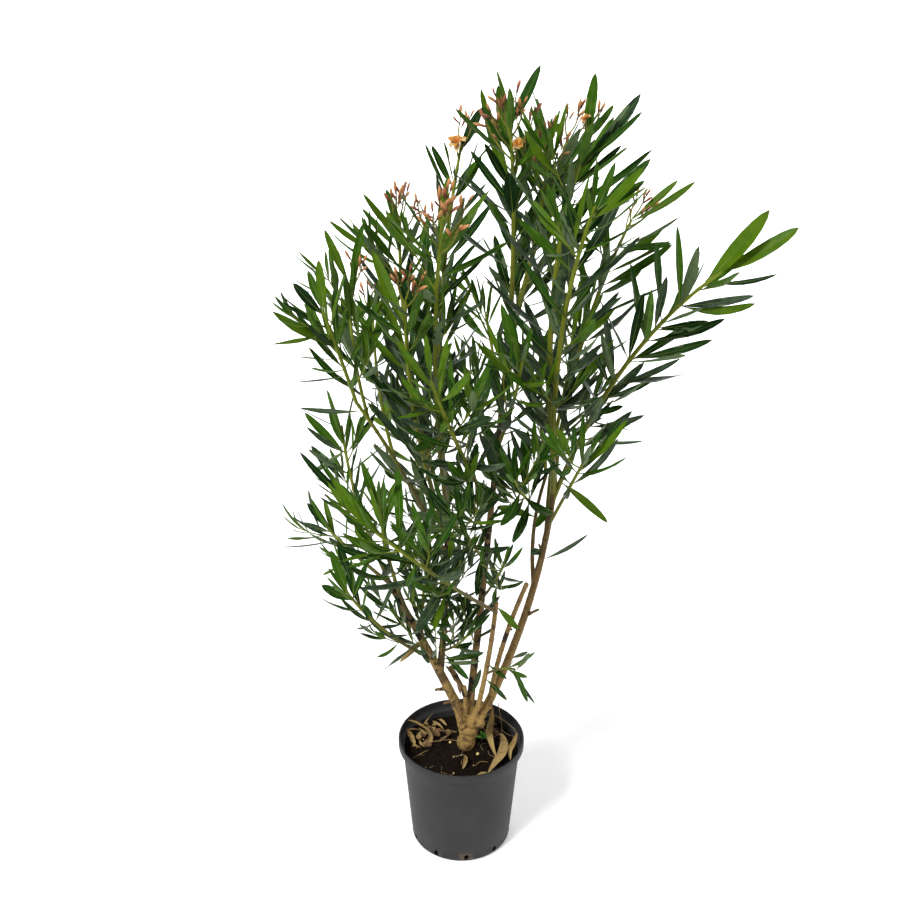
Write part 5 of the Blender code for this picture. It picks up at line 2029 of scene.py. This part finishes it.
@dataclass
class Blossom:
    """Clusters of pointed buds on branching stalks, and faded double flowers."""

    plan: Plan
    room: Room
    reach: float = 0.062
    step: float = 0.0095
    spread: float = math.radians(44)
    stalk_radius: float = 0.0019
    bud_length: float = 0.0235
    bud_width: float = 0.0060
    bud_stations: tuple[float, ...] = (0.0, 0.12, 0.3, 0.52, 0.72, 0.88, 1.0)
    bud_outline: tuple[float, ...] = (0.42, 0.62, 0.74, 1.0, 0.86, 0.46, 0.04)
    buds_to_a_branch: tuple[int, ...] = (2, 3, 3, 4)
    flower_radius: float = 0.0150
    largest: dict[str, float] = field(default_factory=lambda: {"leader_back": 1.35, "leader_front": 1.1})
    petals: int = 15
    petal_rows: int = 6
    petal_columns: int = 5

    def __post_init__(self) -> None:
        """Opens the store."""
        self.store = MeshStore(STALK, CALYX, BUD_SALMON, BUD_CORAL, PETAL_CREAM, PETAL_AMBER)

    def add(self, points: Array, faces: Array, finish: Finish, ages: Array) -> None:
        """Stores a piece of a cluster and takes its room, so that no leaf grows through it.

        Args:
            points: Its points.
            faces: Its faces.
            finish: What they wear.
            ages: What its finish shades by.
        """
        self.store.add(points, faces, self.store.slot_of(finish), ages)
        self.room.take(points, search_tree(points, faces))

    def add_stalk(self, foot: Vector, tip: Vector, bow: Vector, radius: float) -> None:
        """Stores a thin stalk.

        Args:
            foot: Where it starts.
            tip: Where it ends.
            bow: How far it bows.
            radius: Its radius at the foot.
        """
        axis = Axis(foot, tip, bow, (radius, radius * 0.7), (0, 1))
        self.add(*tube(axis.line(5), axis.girth(5), 5), STALK, np.repeat(np.arange(6) / 5, 5))

    def add_bud(self, foot: Vector, heading: Vector, length: float, finish: Finish, twist: float) -> None:
        """Stores one pointed, slightly twisted bud in its calyx.

        Args:
            foot: Where it starts.
            heading: Where it points.
            length: Its length.
            finish: Its petals' finish.
            twist: How far it turns from foot to tip.
        """
        shares, outline = np.array(self.bud_stations), np.array(self.bud_outline)
        line = np.array(foot) + np.outer(shares * length, np.array(heading))
        points, faces = tube(line, outline * self.bud_width / 2 * length / self.bud_length, 6)
        rings = points.reshape(len(shares), 6, 3)
        lobed = 1 + 0.16 * np.array([1, -1, 1, -1, 1, -1])[:, None]
        for ring, share, centre in zip(rings, shares, line):
            ring[:] = centre + ((ring - centre) * lobed) @ np.array(Matrix.Rotation(twist * share, 3, heading)).T
        self.add(rings.reshape(-1, 3), faces, finish, np.repeat(shares, 6))
        self.add_calyx(foot, heading, length)

    def add_calyx(self, foot: Vector, heading: Vector, length: float) -> None:
        """Stores the five pointed sepals round a bud's foot.

        Args:
            foot: Where the bud starts.
            heading: Where it points.
            length: Its length.
        """
        for i in range(5):
            outwards = aside(heading, math.tau * i / 5)
            side = heading.cross(outwards)
            tip = foot + heading * length * 0.30 + outwards * 0.0019
            low = foot - heading * 0.0006 + outwards * 0.0009
            middle = (low + tip) / 2 + outwards * 0.0005
            rows = [low - side * 0.0007, low + side * 0.0007, middle + side * 0.0007, middle - side * 0.0007]
            points = np.array([*rows, tip + side * 0.00008, tip - side * 0.00008])
            faces, ages = np.array([[0, 1, 2, 3], [3, 2, 4, 5]]), np.array([0, 0, 0.6, 0.6, 1, 1])
            self.store.add(points, faces, self.store.slot_of(CALYX), ages)

    def add_flower(self, centre: Vector, heading: Vector, radius: float, rng: Random) -> None:
        """Stores one faded double flower of crumpled petals.

        Args:
            centre: Its middle.
            heading: Where it faces.
            radius: Its radius.
            rng: The cluster's random numbers.
        """
        rows, columns = self.petal_rows, self.petal_columns
        for i in range(self.petals):
            inner = 1 - i / self.petals
            outwards = aside(heading, GOLDEN_TURN * i + rng.uniform(-0.3, 0.3))
            along = leant(heading, outwards, math.radians(14 + 66 * (1 - inner)) + rng.uniform(-0.3, 0.3))
            side = heading.cross(outwards).normalized()
            over = along.cross(side)
            length = radius * rng.uniform(0.72, 1.0) * (0.75 + 0.25 * (1 - inner))
            width = length * rng.uniform(0.55, 0.8)
            points = []
            for share in np.arange(rows) / (rows - 1):
                half = width / 2 * (0.22 + 0.78 * math.sin(math.pi * min(1.0, 0.12 + share * 0.62)) ** 0.8)
                for x in np.arange(columns) / (columns - 1) * 2 - 1:
                    curl = -0.55 * share * share * length + 0.12 * length * math.sin(x * 4 + i + share * 5) * share
                    out = centre + along * length * share * (1 - 0.12 * x * x)
                    points.append(out + side * x * half + over * (curl + 0.35 * half * x * x))
            finish = PETAL_AMBER if inner > 0.5 or rng.random() < 0.25 else PETAL_CREAM
            ages = np.repeat(np.arange(rows) / (rows - 1), columns)
            self.add(np.array(points), grid_quads(rows, columns), finish, ages)

    def grow(self, name: str, shoot: Shoot) -> None:
        """Grows the cluster at one shoot's tip.

        Args:
            name: The shoot's name.
            shoot: Its row.
        """
        rng = Random(name + " blossom")
        lead, count = self.plan.shoots[name], shoot.buds + shoot.flowers
        heading = lead.heading(1.0)
        for i in range(count):
            faded = i >= shoot.buds
            outwards = aside(heading, GOLDEN_TURN * i + rng.uniform(-0.4, 0.4))
            opening = (0.18 if shoot.drop == 0 else 0.4) + 0.6 * i / max(1, count - 1)
            along = leant(heading, outwards, self.spread * opening).normalized()
            below = shoot.drop + self.step * i
            length = (self.reach * rng.uniform(0.45, 0.70) + 0.7 * below) * (0.62 if faded else 1.0)
            foot = lead.point(1 - below / lead.length)
            end = foot + along * length
            self.add_stalk(foot, end, outwards * 0.10 * length, self.stalk_radius)
            if faded:
                radius = self.flower_radius * self.largest.get(name, 0.8)
                self.add_flower(end, (along + outwards * 0.6).normalized(), radius, rng)
                continue
            for j in range(rng.choice(self.buds_to_a_branch)):
                away = aside(along, GOLDEN_TURN * j + rng.uniform(0, 1))
                lean = math.radians(rng.uniform(6, 16) if j == 0 else rng.uniform(22, 42))
                towards = leant(along, away, lean).normalized()
                joint = end - along * length * 0.16 * j
                stalk_end = joint + towards * rng.uniform(0.003, 0.008)
                self.add_stalk(joint, stalk_end, away * 0.0003, self.stalk_radius * 0.65)
                size = self.bud_length * rng.uniform(0.6, 1.12)
                finish = rng.choice((BUD_SALMON, BUD_CORAL, BUD_SALMON))
                self.add_bud(stalk_end, towards, size, finish, rng.uniform(0.6, 1.6))

    def build(self) -> Object:
        """Grows every cluster and joins them.

        Returns:
            The blossom.
        """
        for name, shoot in SHOOTS.items():
            if shoot.buds or shoot.flowers:
                self.grow(name, shoot)
        return self.store.piece("blossom")


# --- What lies on the compost ---


def path(*places: Sequence[float]) -> tuple[tuple[float, ...], ...]:
    """A line of places in millimetres, as metres."""
    return tuple(mm(*place) for place in places)


@dataclass(frozen=True)
class FallenLeaf:
    """A dry leaf: a few places along its middle, its width, how far its sides roll, and its twist."""

    places: tuple[Triple, ...]
    width: float
    roll: float
    twist: tuple[float, float] = (0.0, 0.0)


@dataclass
class Litter:
    """Curled dry leaves, straws, roots, feed grains and a sprout on the compost."""

    compost: Compost
    steps: int = 18
    columns: int = 7
    thickness: float = 0.0004
    fallen: tuple[FallenLeaf, ...] = (
        FallenLeaf(path((-123, 59, 235), (-98, 49, 237), (-76, 33, 232), (-66, 21, 224), (-69, 8, 217), (-79, 2, 216),
                        (-88, 9, 218)), 0.0160, 1.5, (0.2, 1.2)),
        FallenLeaf(path((-80, 62, 221), (-72, 70, 226), (-61, 80, 236)), 0.0060, 1.6, (0.3, 0.8)),
        FallenLeaf(path((-115, 28, 233), (-101, 36, 228), (-89, 45, 221)), 0.0080, 1.8, (0.4, 0.0)),
        FallenLeaf(path((-112, 34, 228), (-104, 15, 222), (-97, -3, 215)), 0.0150, 1.1, (0.3, 0.6)),
        FallenLeaf(path((-62, 66, 217), (-50, 60, 223), (-36, 48, 217)), 0.0100, 1.5, (-0.4, 0.7)),
        FallenLeaf(path((-50, 86, 217), (-44, 76, 223), (-30, 66, 216)), 0.0085, 1.4, (0.6, -0.3)),
        FallenLeaf(path((68, 74, 256), (64, 50, 238), (59, 27, 229), (63, -2, 222),
                        (71, -34, 214)), 0.0150, 1.3, (0.4, -0.5)),
        FallenLeaf(path((64, 28, 219), (80, 18, 231), (88, -12, 233), (82, -44, 229), (68, -66, 223),
                        (53, -92, 219)), 0.0200, 1.2, (0.9, -0.1)),
        FallenLeaf(path((116, 6, 242), (108, -14, 233), (100, -30, 225), (100, -48, 217)), 0.0110, 1.1, (0.4, 0.1)),
        FallenLeaf(path((7, -32, 216), (8, -54, 219), (2, -74, 214)), 0.0095, 1.3, (0.0, 0.6)),
        FallenLeaf(path((30, -100, 217), (40, -96, 221), (52, -90, 218)), 0.0070, 1.4),
        FallenLeaf(path((-2, 98, 215), (22, 86, 221), (44, 90, 215)), 0.0100, 1.2, (0.4, -0.4)),
        FallenLeaf(path((24, 60, 214), (10, 74, 219), (-8, 76, 214)), 0.0090, 1.5, (0.2, 0.7)),
        FallenLeaf(path((-12, -12, 338), (-11, -19, 322), (-3, -21, 303), (2, -21, 282)), 0.0100, 2.0, (0.9, 0.1)),
        FallenLeaf(path((-32, 2, 410), (-20, -12, 398), (-8, -17, 378), (-2, -14, 352)), 0.0125, 1.8, (0.2, 0.9)),
        FallenLeaf(path((-76, -22, 484), (-98, -32, 468), (-122, -36, 444)), 0.0130, 1.3, (0.3, 1.0)),
    )
    straws: tuple[tuple[Triple, ...], ...] = (
        path((80, 83, 262), (84, 69, 238), (88, 52, 216)),
        path((57, 89, 226), (73, 79, 232), (90, 65, 231), (106, 47, 229), (116, 30, 227), (117, 16, 222)),
        path((-5, 13, 216), (-26, 14, 219), (-50, 12, 217), (-70, 9, 216)),
        path((-41, 46, 217), (-23, 44, 219), (-9, 43, 217)),
        path((28, -64, 215), (39, -56, 218), (54, -55, 216)),
        path((-88, -30, 214), (-80, -26, 217), (-68, -14, 214)),
    )
    roots: int = 34
    root_bed: tuple[float, float] = (0.078, 0.058)
    root_step: float = 0.008
    grains: int = 14
    grain_spots: tuple[tuple[float, float], ...] = path((34, -23), (-23, 16), (-80, 28), (-86, 20), (25, -55))
    grain_sizes: tuple[float, float] = (0.0036, 0.0030)
    sprout: Triple = (0.050, 0.028, 0.213)
    sprout_leaves: int = 7
    heap: tuple[float, float] = (-0.068, 0.036)
    heap_spread: float = 0.022
    heap_limit: float = 0.108
    heap_depth: float = 0.007
    scrap_count: int = 20

    def add_fallen(self, store: MeshStore, leaf: FallenLeaf, seed: int) -> None:
        """Stores one dry leaf, rolled and twisted along its line, with crumples drawn from the seed.

        Args:
            store: Where it goes.
            leaf: Its line and shape.
            seed: Its number, which sets its crumples.
        """
        line = route(leaf.places, self.steps)
        along = unit(np.gradient(line, axis=0))
        across = unit(np.cross(along, np.array([0.0, 0.0, 1.0])))
        over = np.cross(across, along)
        shares = np.linspace(0, 1, self.steps)
        half = leaf.width / 2 * np.maximum(0.06, np.sin(math.pi * np.clip(shares, 0.02, 0.985) ** 0.9) ** 0.75)
        turn = (leaf.twist[0] + (leaf.twist[1] - leaf.twist[0]) * shares)[:, None]
        across, over = twisted(across, over, turn)
        angles = np.linspace(-1, 1, self.columns) * leaf.roll / 2
        flat, lift = np.sin(angles) / leaf.roll * 2, (1 - np.cos(angles)) / leaf.roll * 2
        crumple = np.array([[noise.noise(Vector((s * 7, a * 1.5, seed * 3.1))) for a in angles] for s in shares])
        lift = lift[None, :] + 0.30 * crumple - 0.16 * (np.arange(self.columns) == self.columns // 2)
        upper, lower = (DRY_BROWN, DRY_TAN) if seed % 2 and seed >= len(self.fallen) else (DRY_TAN, DRY_BROWN)
        for offset, finish, flip in ((0.0, upper, 1), (-self.thickness, lower, -1)):
            points = spread_out(line, across, over, flat * half[:, None], lift * half[:, None] + offset)
            faces, ages = grid_quads(self.steps, self.columns)[:, ::flip], np.repeat(shares, self.columns)
            store.add(points, faces, store.slot_of(finish), ages)

    def scraps(self) -> Iterator[FallenLeaf]:
        """Broken bits of dry leaf, heaped on the left.

        Yields:
            Each bit.
        """
        rng = Random("scraps")
        for i in range(self.scrap_count):
            turn, half = rng.uniform(0, math.pi), rng.uniform(0.004, 0.016)
            x, y = (rng.gauss(middle, self.heap_spread) for middle in self.heap)
            kept = min(1.0, (self.heap_limit - half) / math.hypot(x, y))
            place = Vector((x * kept, y * kept, 0.0015 + self.heap_depth * i / self.scrap_count))
            place.z += self.compost.height(place.x, place.y) + half * rng.uniform(0.0, 0.25)
            step = Vector((math.cos(turn), math.sin(turn), rng.uniform(-0.15, 0.15))) * half
            bow = Vector((rng.gauss(0, 0.2), rng.gauss(0, 0.2), rng.uniform(0.0, 0.3))) * half
            places = tuple(tuple(p) for p in (place - step, place + bow, place + step))
            width, roll = rng.uniform(0.005, 0.014), rng.uniform(0.3, 1.6)
            yield FallenLeaf(places, width, roll, (rng.gauss(0, 0.4), rng.gauss(0, 0.5)))

    def build_leaves(self) -> Object:
        """The dry leaves and straws.

        Returns:
            The leaves.
        """
        store = MeshStore(DRY_TAN, DRY_BROWN)
        for i, leaf in enumerate([*self.fallen, *self.scraps()]):
            self.add_fallen(store, leaf, i)
        for places in self.straws:
            points, faces = tube(route(places, 10), np.linspace(0.0009, 0.0004, 10), 6)
            store.add(points, faces, store.slot_of(DRY_TAN), np.repeat(np.linspace(0, 1, 10), 6))
        return store.piece("dry_leaves")

    def build_roots(self) -> Object:
        """Fine roots and fibres that loop over the compost, most of them at the back on the right.

        Returns:
            The roots.
        """
        rng = Random("roots")
        store = MeshStore(PALE_ROOT)
        for i in range(self.roots):
            centre = self.root_bed if i % 3 else (rng.uniform(-0.07, 0.06), rng.uniform(-0.07, 0.07))
            x, y = centre[0] + rng.gauss(0, 0.014), centre[1] + rng.gauss(0, 0.018)
            turn, places = rng.uniform(0, math.tau), []
            for step in range(5):
                level = self.compost.height(x, y) + 0.0006 + rng.uniform(0.0, 0.004) * (step % 2)
                places.append((x, y, level))
                turn += rng.uniform(-0.9, 0.9)
                x, y = x + self.root_step * math.cos(turn), y + self.root_step * math.sin(turn)
            points, faces = tube(route(places, 14), np.full(14, rng.uniform(0.0002, 0.0005)), 5)
            store.add(points, faces, ages=rng.random())
        return store.piece("fine_roots")

    def build_grains(self) -> Object:
        """Pale feed grains, scattered.

        Returns:
            The grains.
        """
        rng = Random("grains")
        store = MeshStore(GRAIN)
        ball, faces = icosphere(2)
        spots = list(self.grain_spots)
        while len(spots) < self.grains:
            spots.append(polar(0.105 * math.sqrt(rng.random()), rng.uniform(0, math.tau)))
        for i, (x, y) in enumerate(spots):
            size = self.grain_sizes[i] if i < len(self.grain_sizes) else rng.uniform(0.0013, 0.0022)
            lumps = np.array([[rng.uniform(0.92, 1.06)] for _ in ball])
            store.add(ball * lumps * size + (x, y, self.compost.height(x, y) + size * 0.6), faces)
        return store.piece("feed_grains")

    def build_sprout(self, form: LeafForm) -> Object:
        """A tiny bright sprout beside the root crown.

        Args:
            form: The leaf's form.

        Returns:
            The sprout.
        """
        rng = Random("sprout")
        store = MeshStore(SPROUT, UNDER_YOUNG, RIB)
        slots = np.where(form.is_under, 1, 0)
        for i in range(self.sprout_leaves):
            turn, tilt = GOLDEN_TURN * i, math.radians(30 + 9 * i)
            outwards = Vector((*polar(1.0, turn), 0.0))
            along = Vector((0, 0, math.cos(tilt))) + outwards * math.sin(tilt)
            side = Vector((0, 0, 1)).cross(outwards)
            base, length = Vector(self.sprout) + outwards * 0.001, rng.uniform(0.013, 0.021)
            leaf = Leaf(base, along, side, (0.0, 0.0, -0.15), length, length * 0.42, 0.2, 0.0, 0.1)
            points, blades = form.surface(leaf)
            store.add(points, form.faces, slots, 0.5, blades)
        return store.piece("sprout")


# --- Studio ---


@dataclass
class Studio:
    """The pale floor, soft lights and the camera."""

    floor_radius: float = 5.0
    bowl_radius: float = 4.0
    bowl_steps: int = 14
    floor_spokes: int = 96
    camera_place: Triple = (-0.0233, -1.8553, 1.65)
    camera_pitch: float = math.radians(22.498)
    focal_pixels: float = 1085.7
    image_pixels: float = 900.0
    sensor: float = 36.0
    sky: Triple = (1.0, 1.0, 1.0)
    sky_strength: float = 0.16
    sun_place: Triple = (-1.5, -1.7, 2.3)
    sun_strength: float = 3.1
    sun_spread: float = math.radians(15)

    def build_floor(self) -> None:
        """A wide disc whose edge curves up all round."""
        angles = np.linspace(0, math.pi / 2, self.bowl_steps)
        radii = np.concatenate([[0.001, 1.5], self.floor_radius + self.bowl_radius * np.sin(angles)])
        levels = np.concatenate([[0.0, 0.0], self.bowl_radius * (1 - np.cos(angles))])
        points = np.concatenate([circle(*size, self.floor_spokes) for size in zip(radii, levels)])
        store = MeshStore(FLOOR)
        store.add(points, grid_quads(len(radii), self.floor_spokes, wrap=True))
        store.piece("floor")

    def add_light(self, name: str, place: Triple, aim: Triple, size: float, power: float) -> None:
        """Adds a square soft light that looks at a place.

        Args:
            name: Its name.
            place: Where it hangs.
            aim: What it looks at.
            size: The length of its sides.
            power: Its power in watts.
        """
        light = bpy.data.lights.new(name, "AREA")
        light.shape, light.size, light.energy = "SQUARE", size, power
        lamp = linked(name, light)
        lamp.location = place
        lamp.rotation_euler = (Vector(aim) - Vector(place)).to_track_quat("-Z", "Y").to_euler()

    def build_lights(self) -> None:
        """A high far key, two fills, one for the backdrop, and an even pale sky."""
        key = bpy.data.lights.new("key", "SUN")
        key.energy, key.angle = self.sun_strength, self.sun_spread
        linked("key", key).rotation_euler = Vector(self.sun_place).to_track_quat("Z", "Y").to_euler()
        self.add_light("fill", (2.4, -1.4, 1.9), (0.05, 0.0, 0.8), 2.2, 12)
        self.add_light("back", (0.4, 2.4, 2.6), (0.05, 0.0, 0.9), 2.0, 22)
        self.add_light("backdrop", (0.0, 4.0, 5.5), (0.0, 8.5, 1.6), 4.0, 520)
        world = bpy.data.worlds.new("pale_sky")
        world.use_nodes = True
        background = world.node_tree.nodes["Background"]
        background.inputs["Color"].default_value = rgba(self.sky)
        background.inputs["Strength"].default_value = self.sky_strength
        bpy.context.scene.world = world

    def build_camera(self) -> None:
        """The camera, a little above the plant and looking down on it."""
        camera = bpy.data.cameras.new("camera")
        camera.sensor_width = self.sensor
        camera.lens = self.focal_pixels / self.image_pixels * self.sensor
        holder = linked("camera", camera)
        holder.location = self.camera_place
        holder.rotation_euler = (math.pi / 2 - self.camera_pitch, 0.0, 0.0)
        bpy.context.scene.camera = holder

    def build(self) -> None:
        """Sets the stage."""
        self.build_floor()
        self.build_lights()
        self.build_camera()
        bpy.context.scene.view_settings.view_transform = "Standard"


def main() -> None:
    """Builds and dresses the plant and reports each piece."""
    logging.basicConfig(level=logging.INFO, format="%(message)s")
    Studio().build()
    plan = Plan()
    plan.lay_out()
    hand_in(GrowersPot().build(), "pot_plastic", ["pot"])
    compost = Compost()
    hand_in(compost.build_plug(), "damp_soil", ["soil"])
    hand_in(compost.build_crumbs(), "damp_soil")
    hand_in(WoodyFrame(plan).build(), "brown_bark", ["root_crown", *LIMBS])
    crown = Crown(plan)
    hand_in(Blossom(plan, crown.room).build(), "blossom")
    for side, (leaves, stems) in crown.build().items():
        hand_in(leaves, "leaf_green", [name for name in SHOOTS if Side.of(name) is side])
        hand_in(stems, "green_bark")
    litter = Litter(compost)
    hand_in(litter.build_leaves(), "dry_leaf")
    hand_in(litter.build_roots(), "dry_leaf")
    hand_in(litter.build_grains(), "dry_leaf")
    hand_in(litter.build_sprout(crown.form), "leaf_green")


if __name__ == "__main__":
    main()
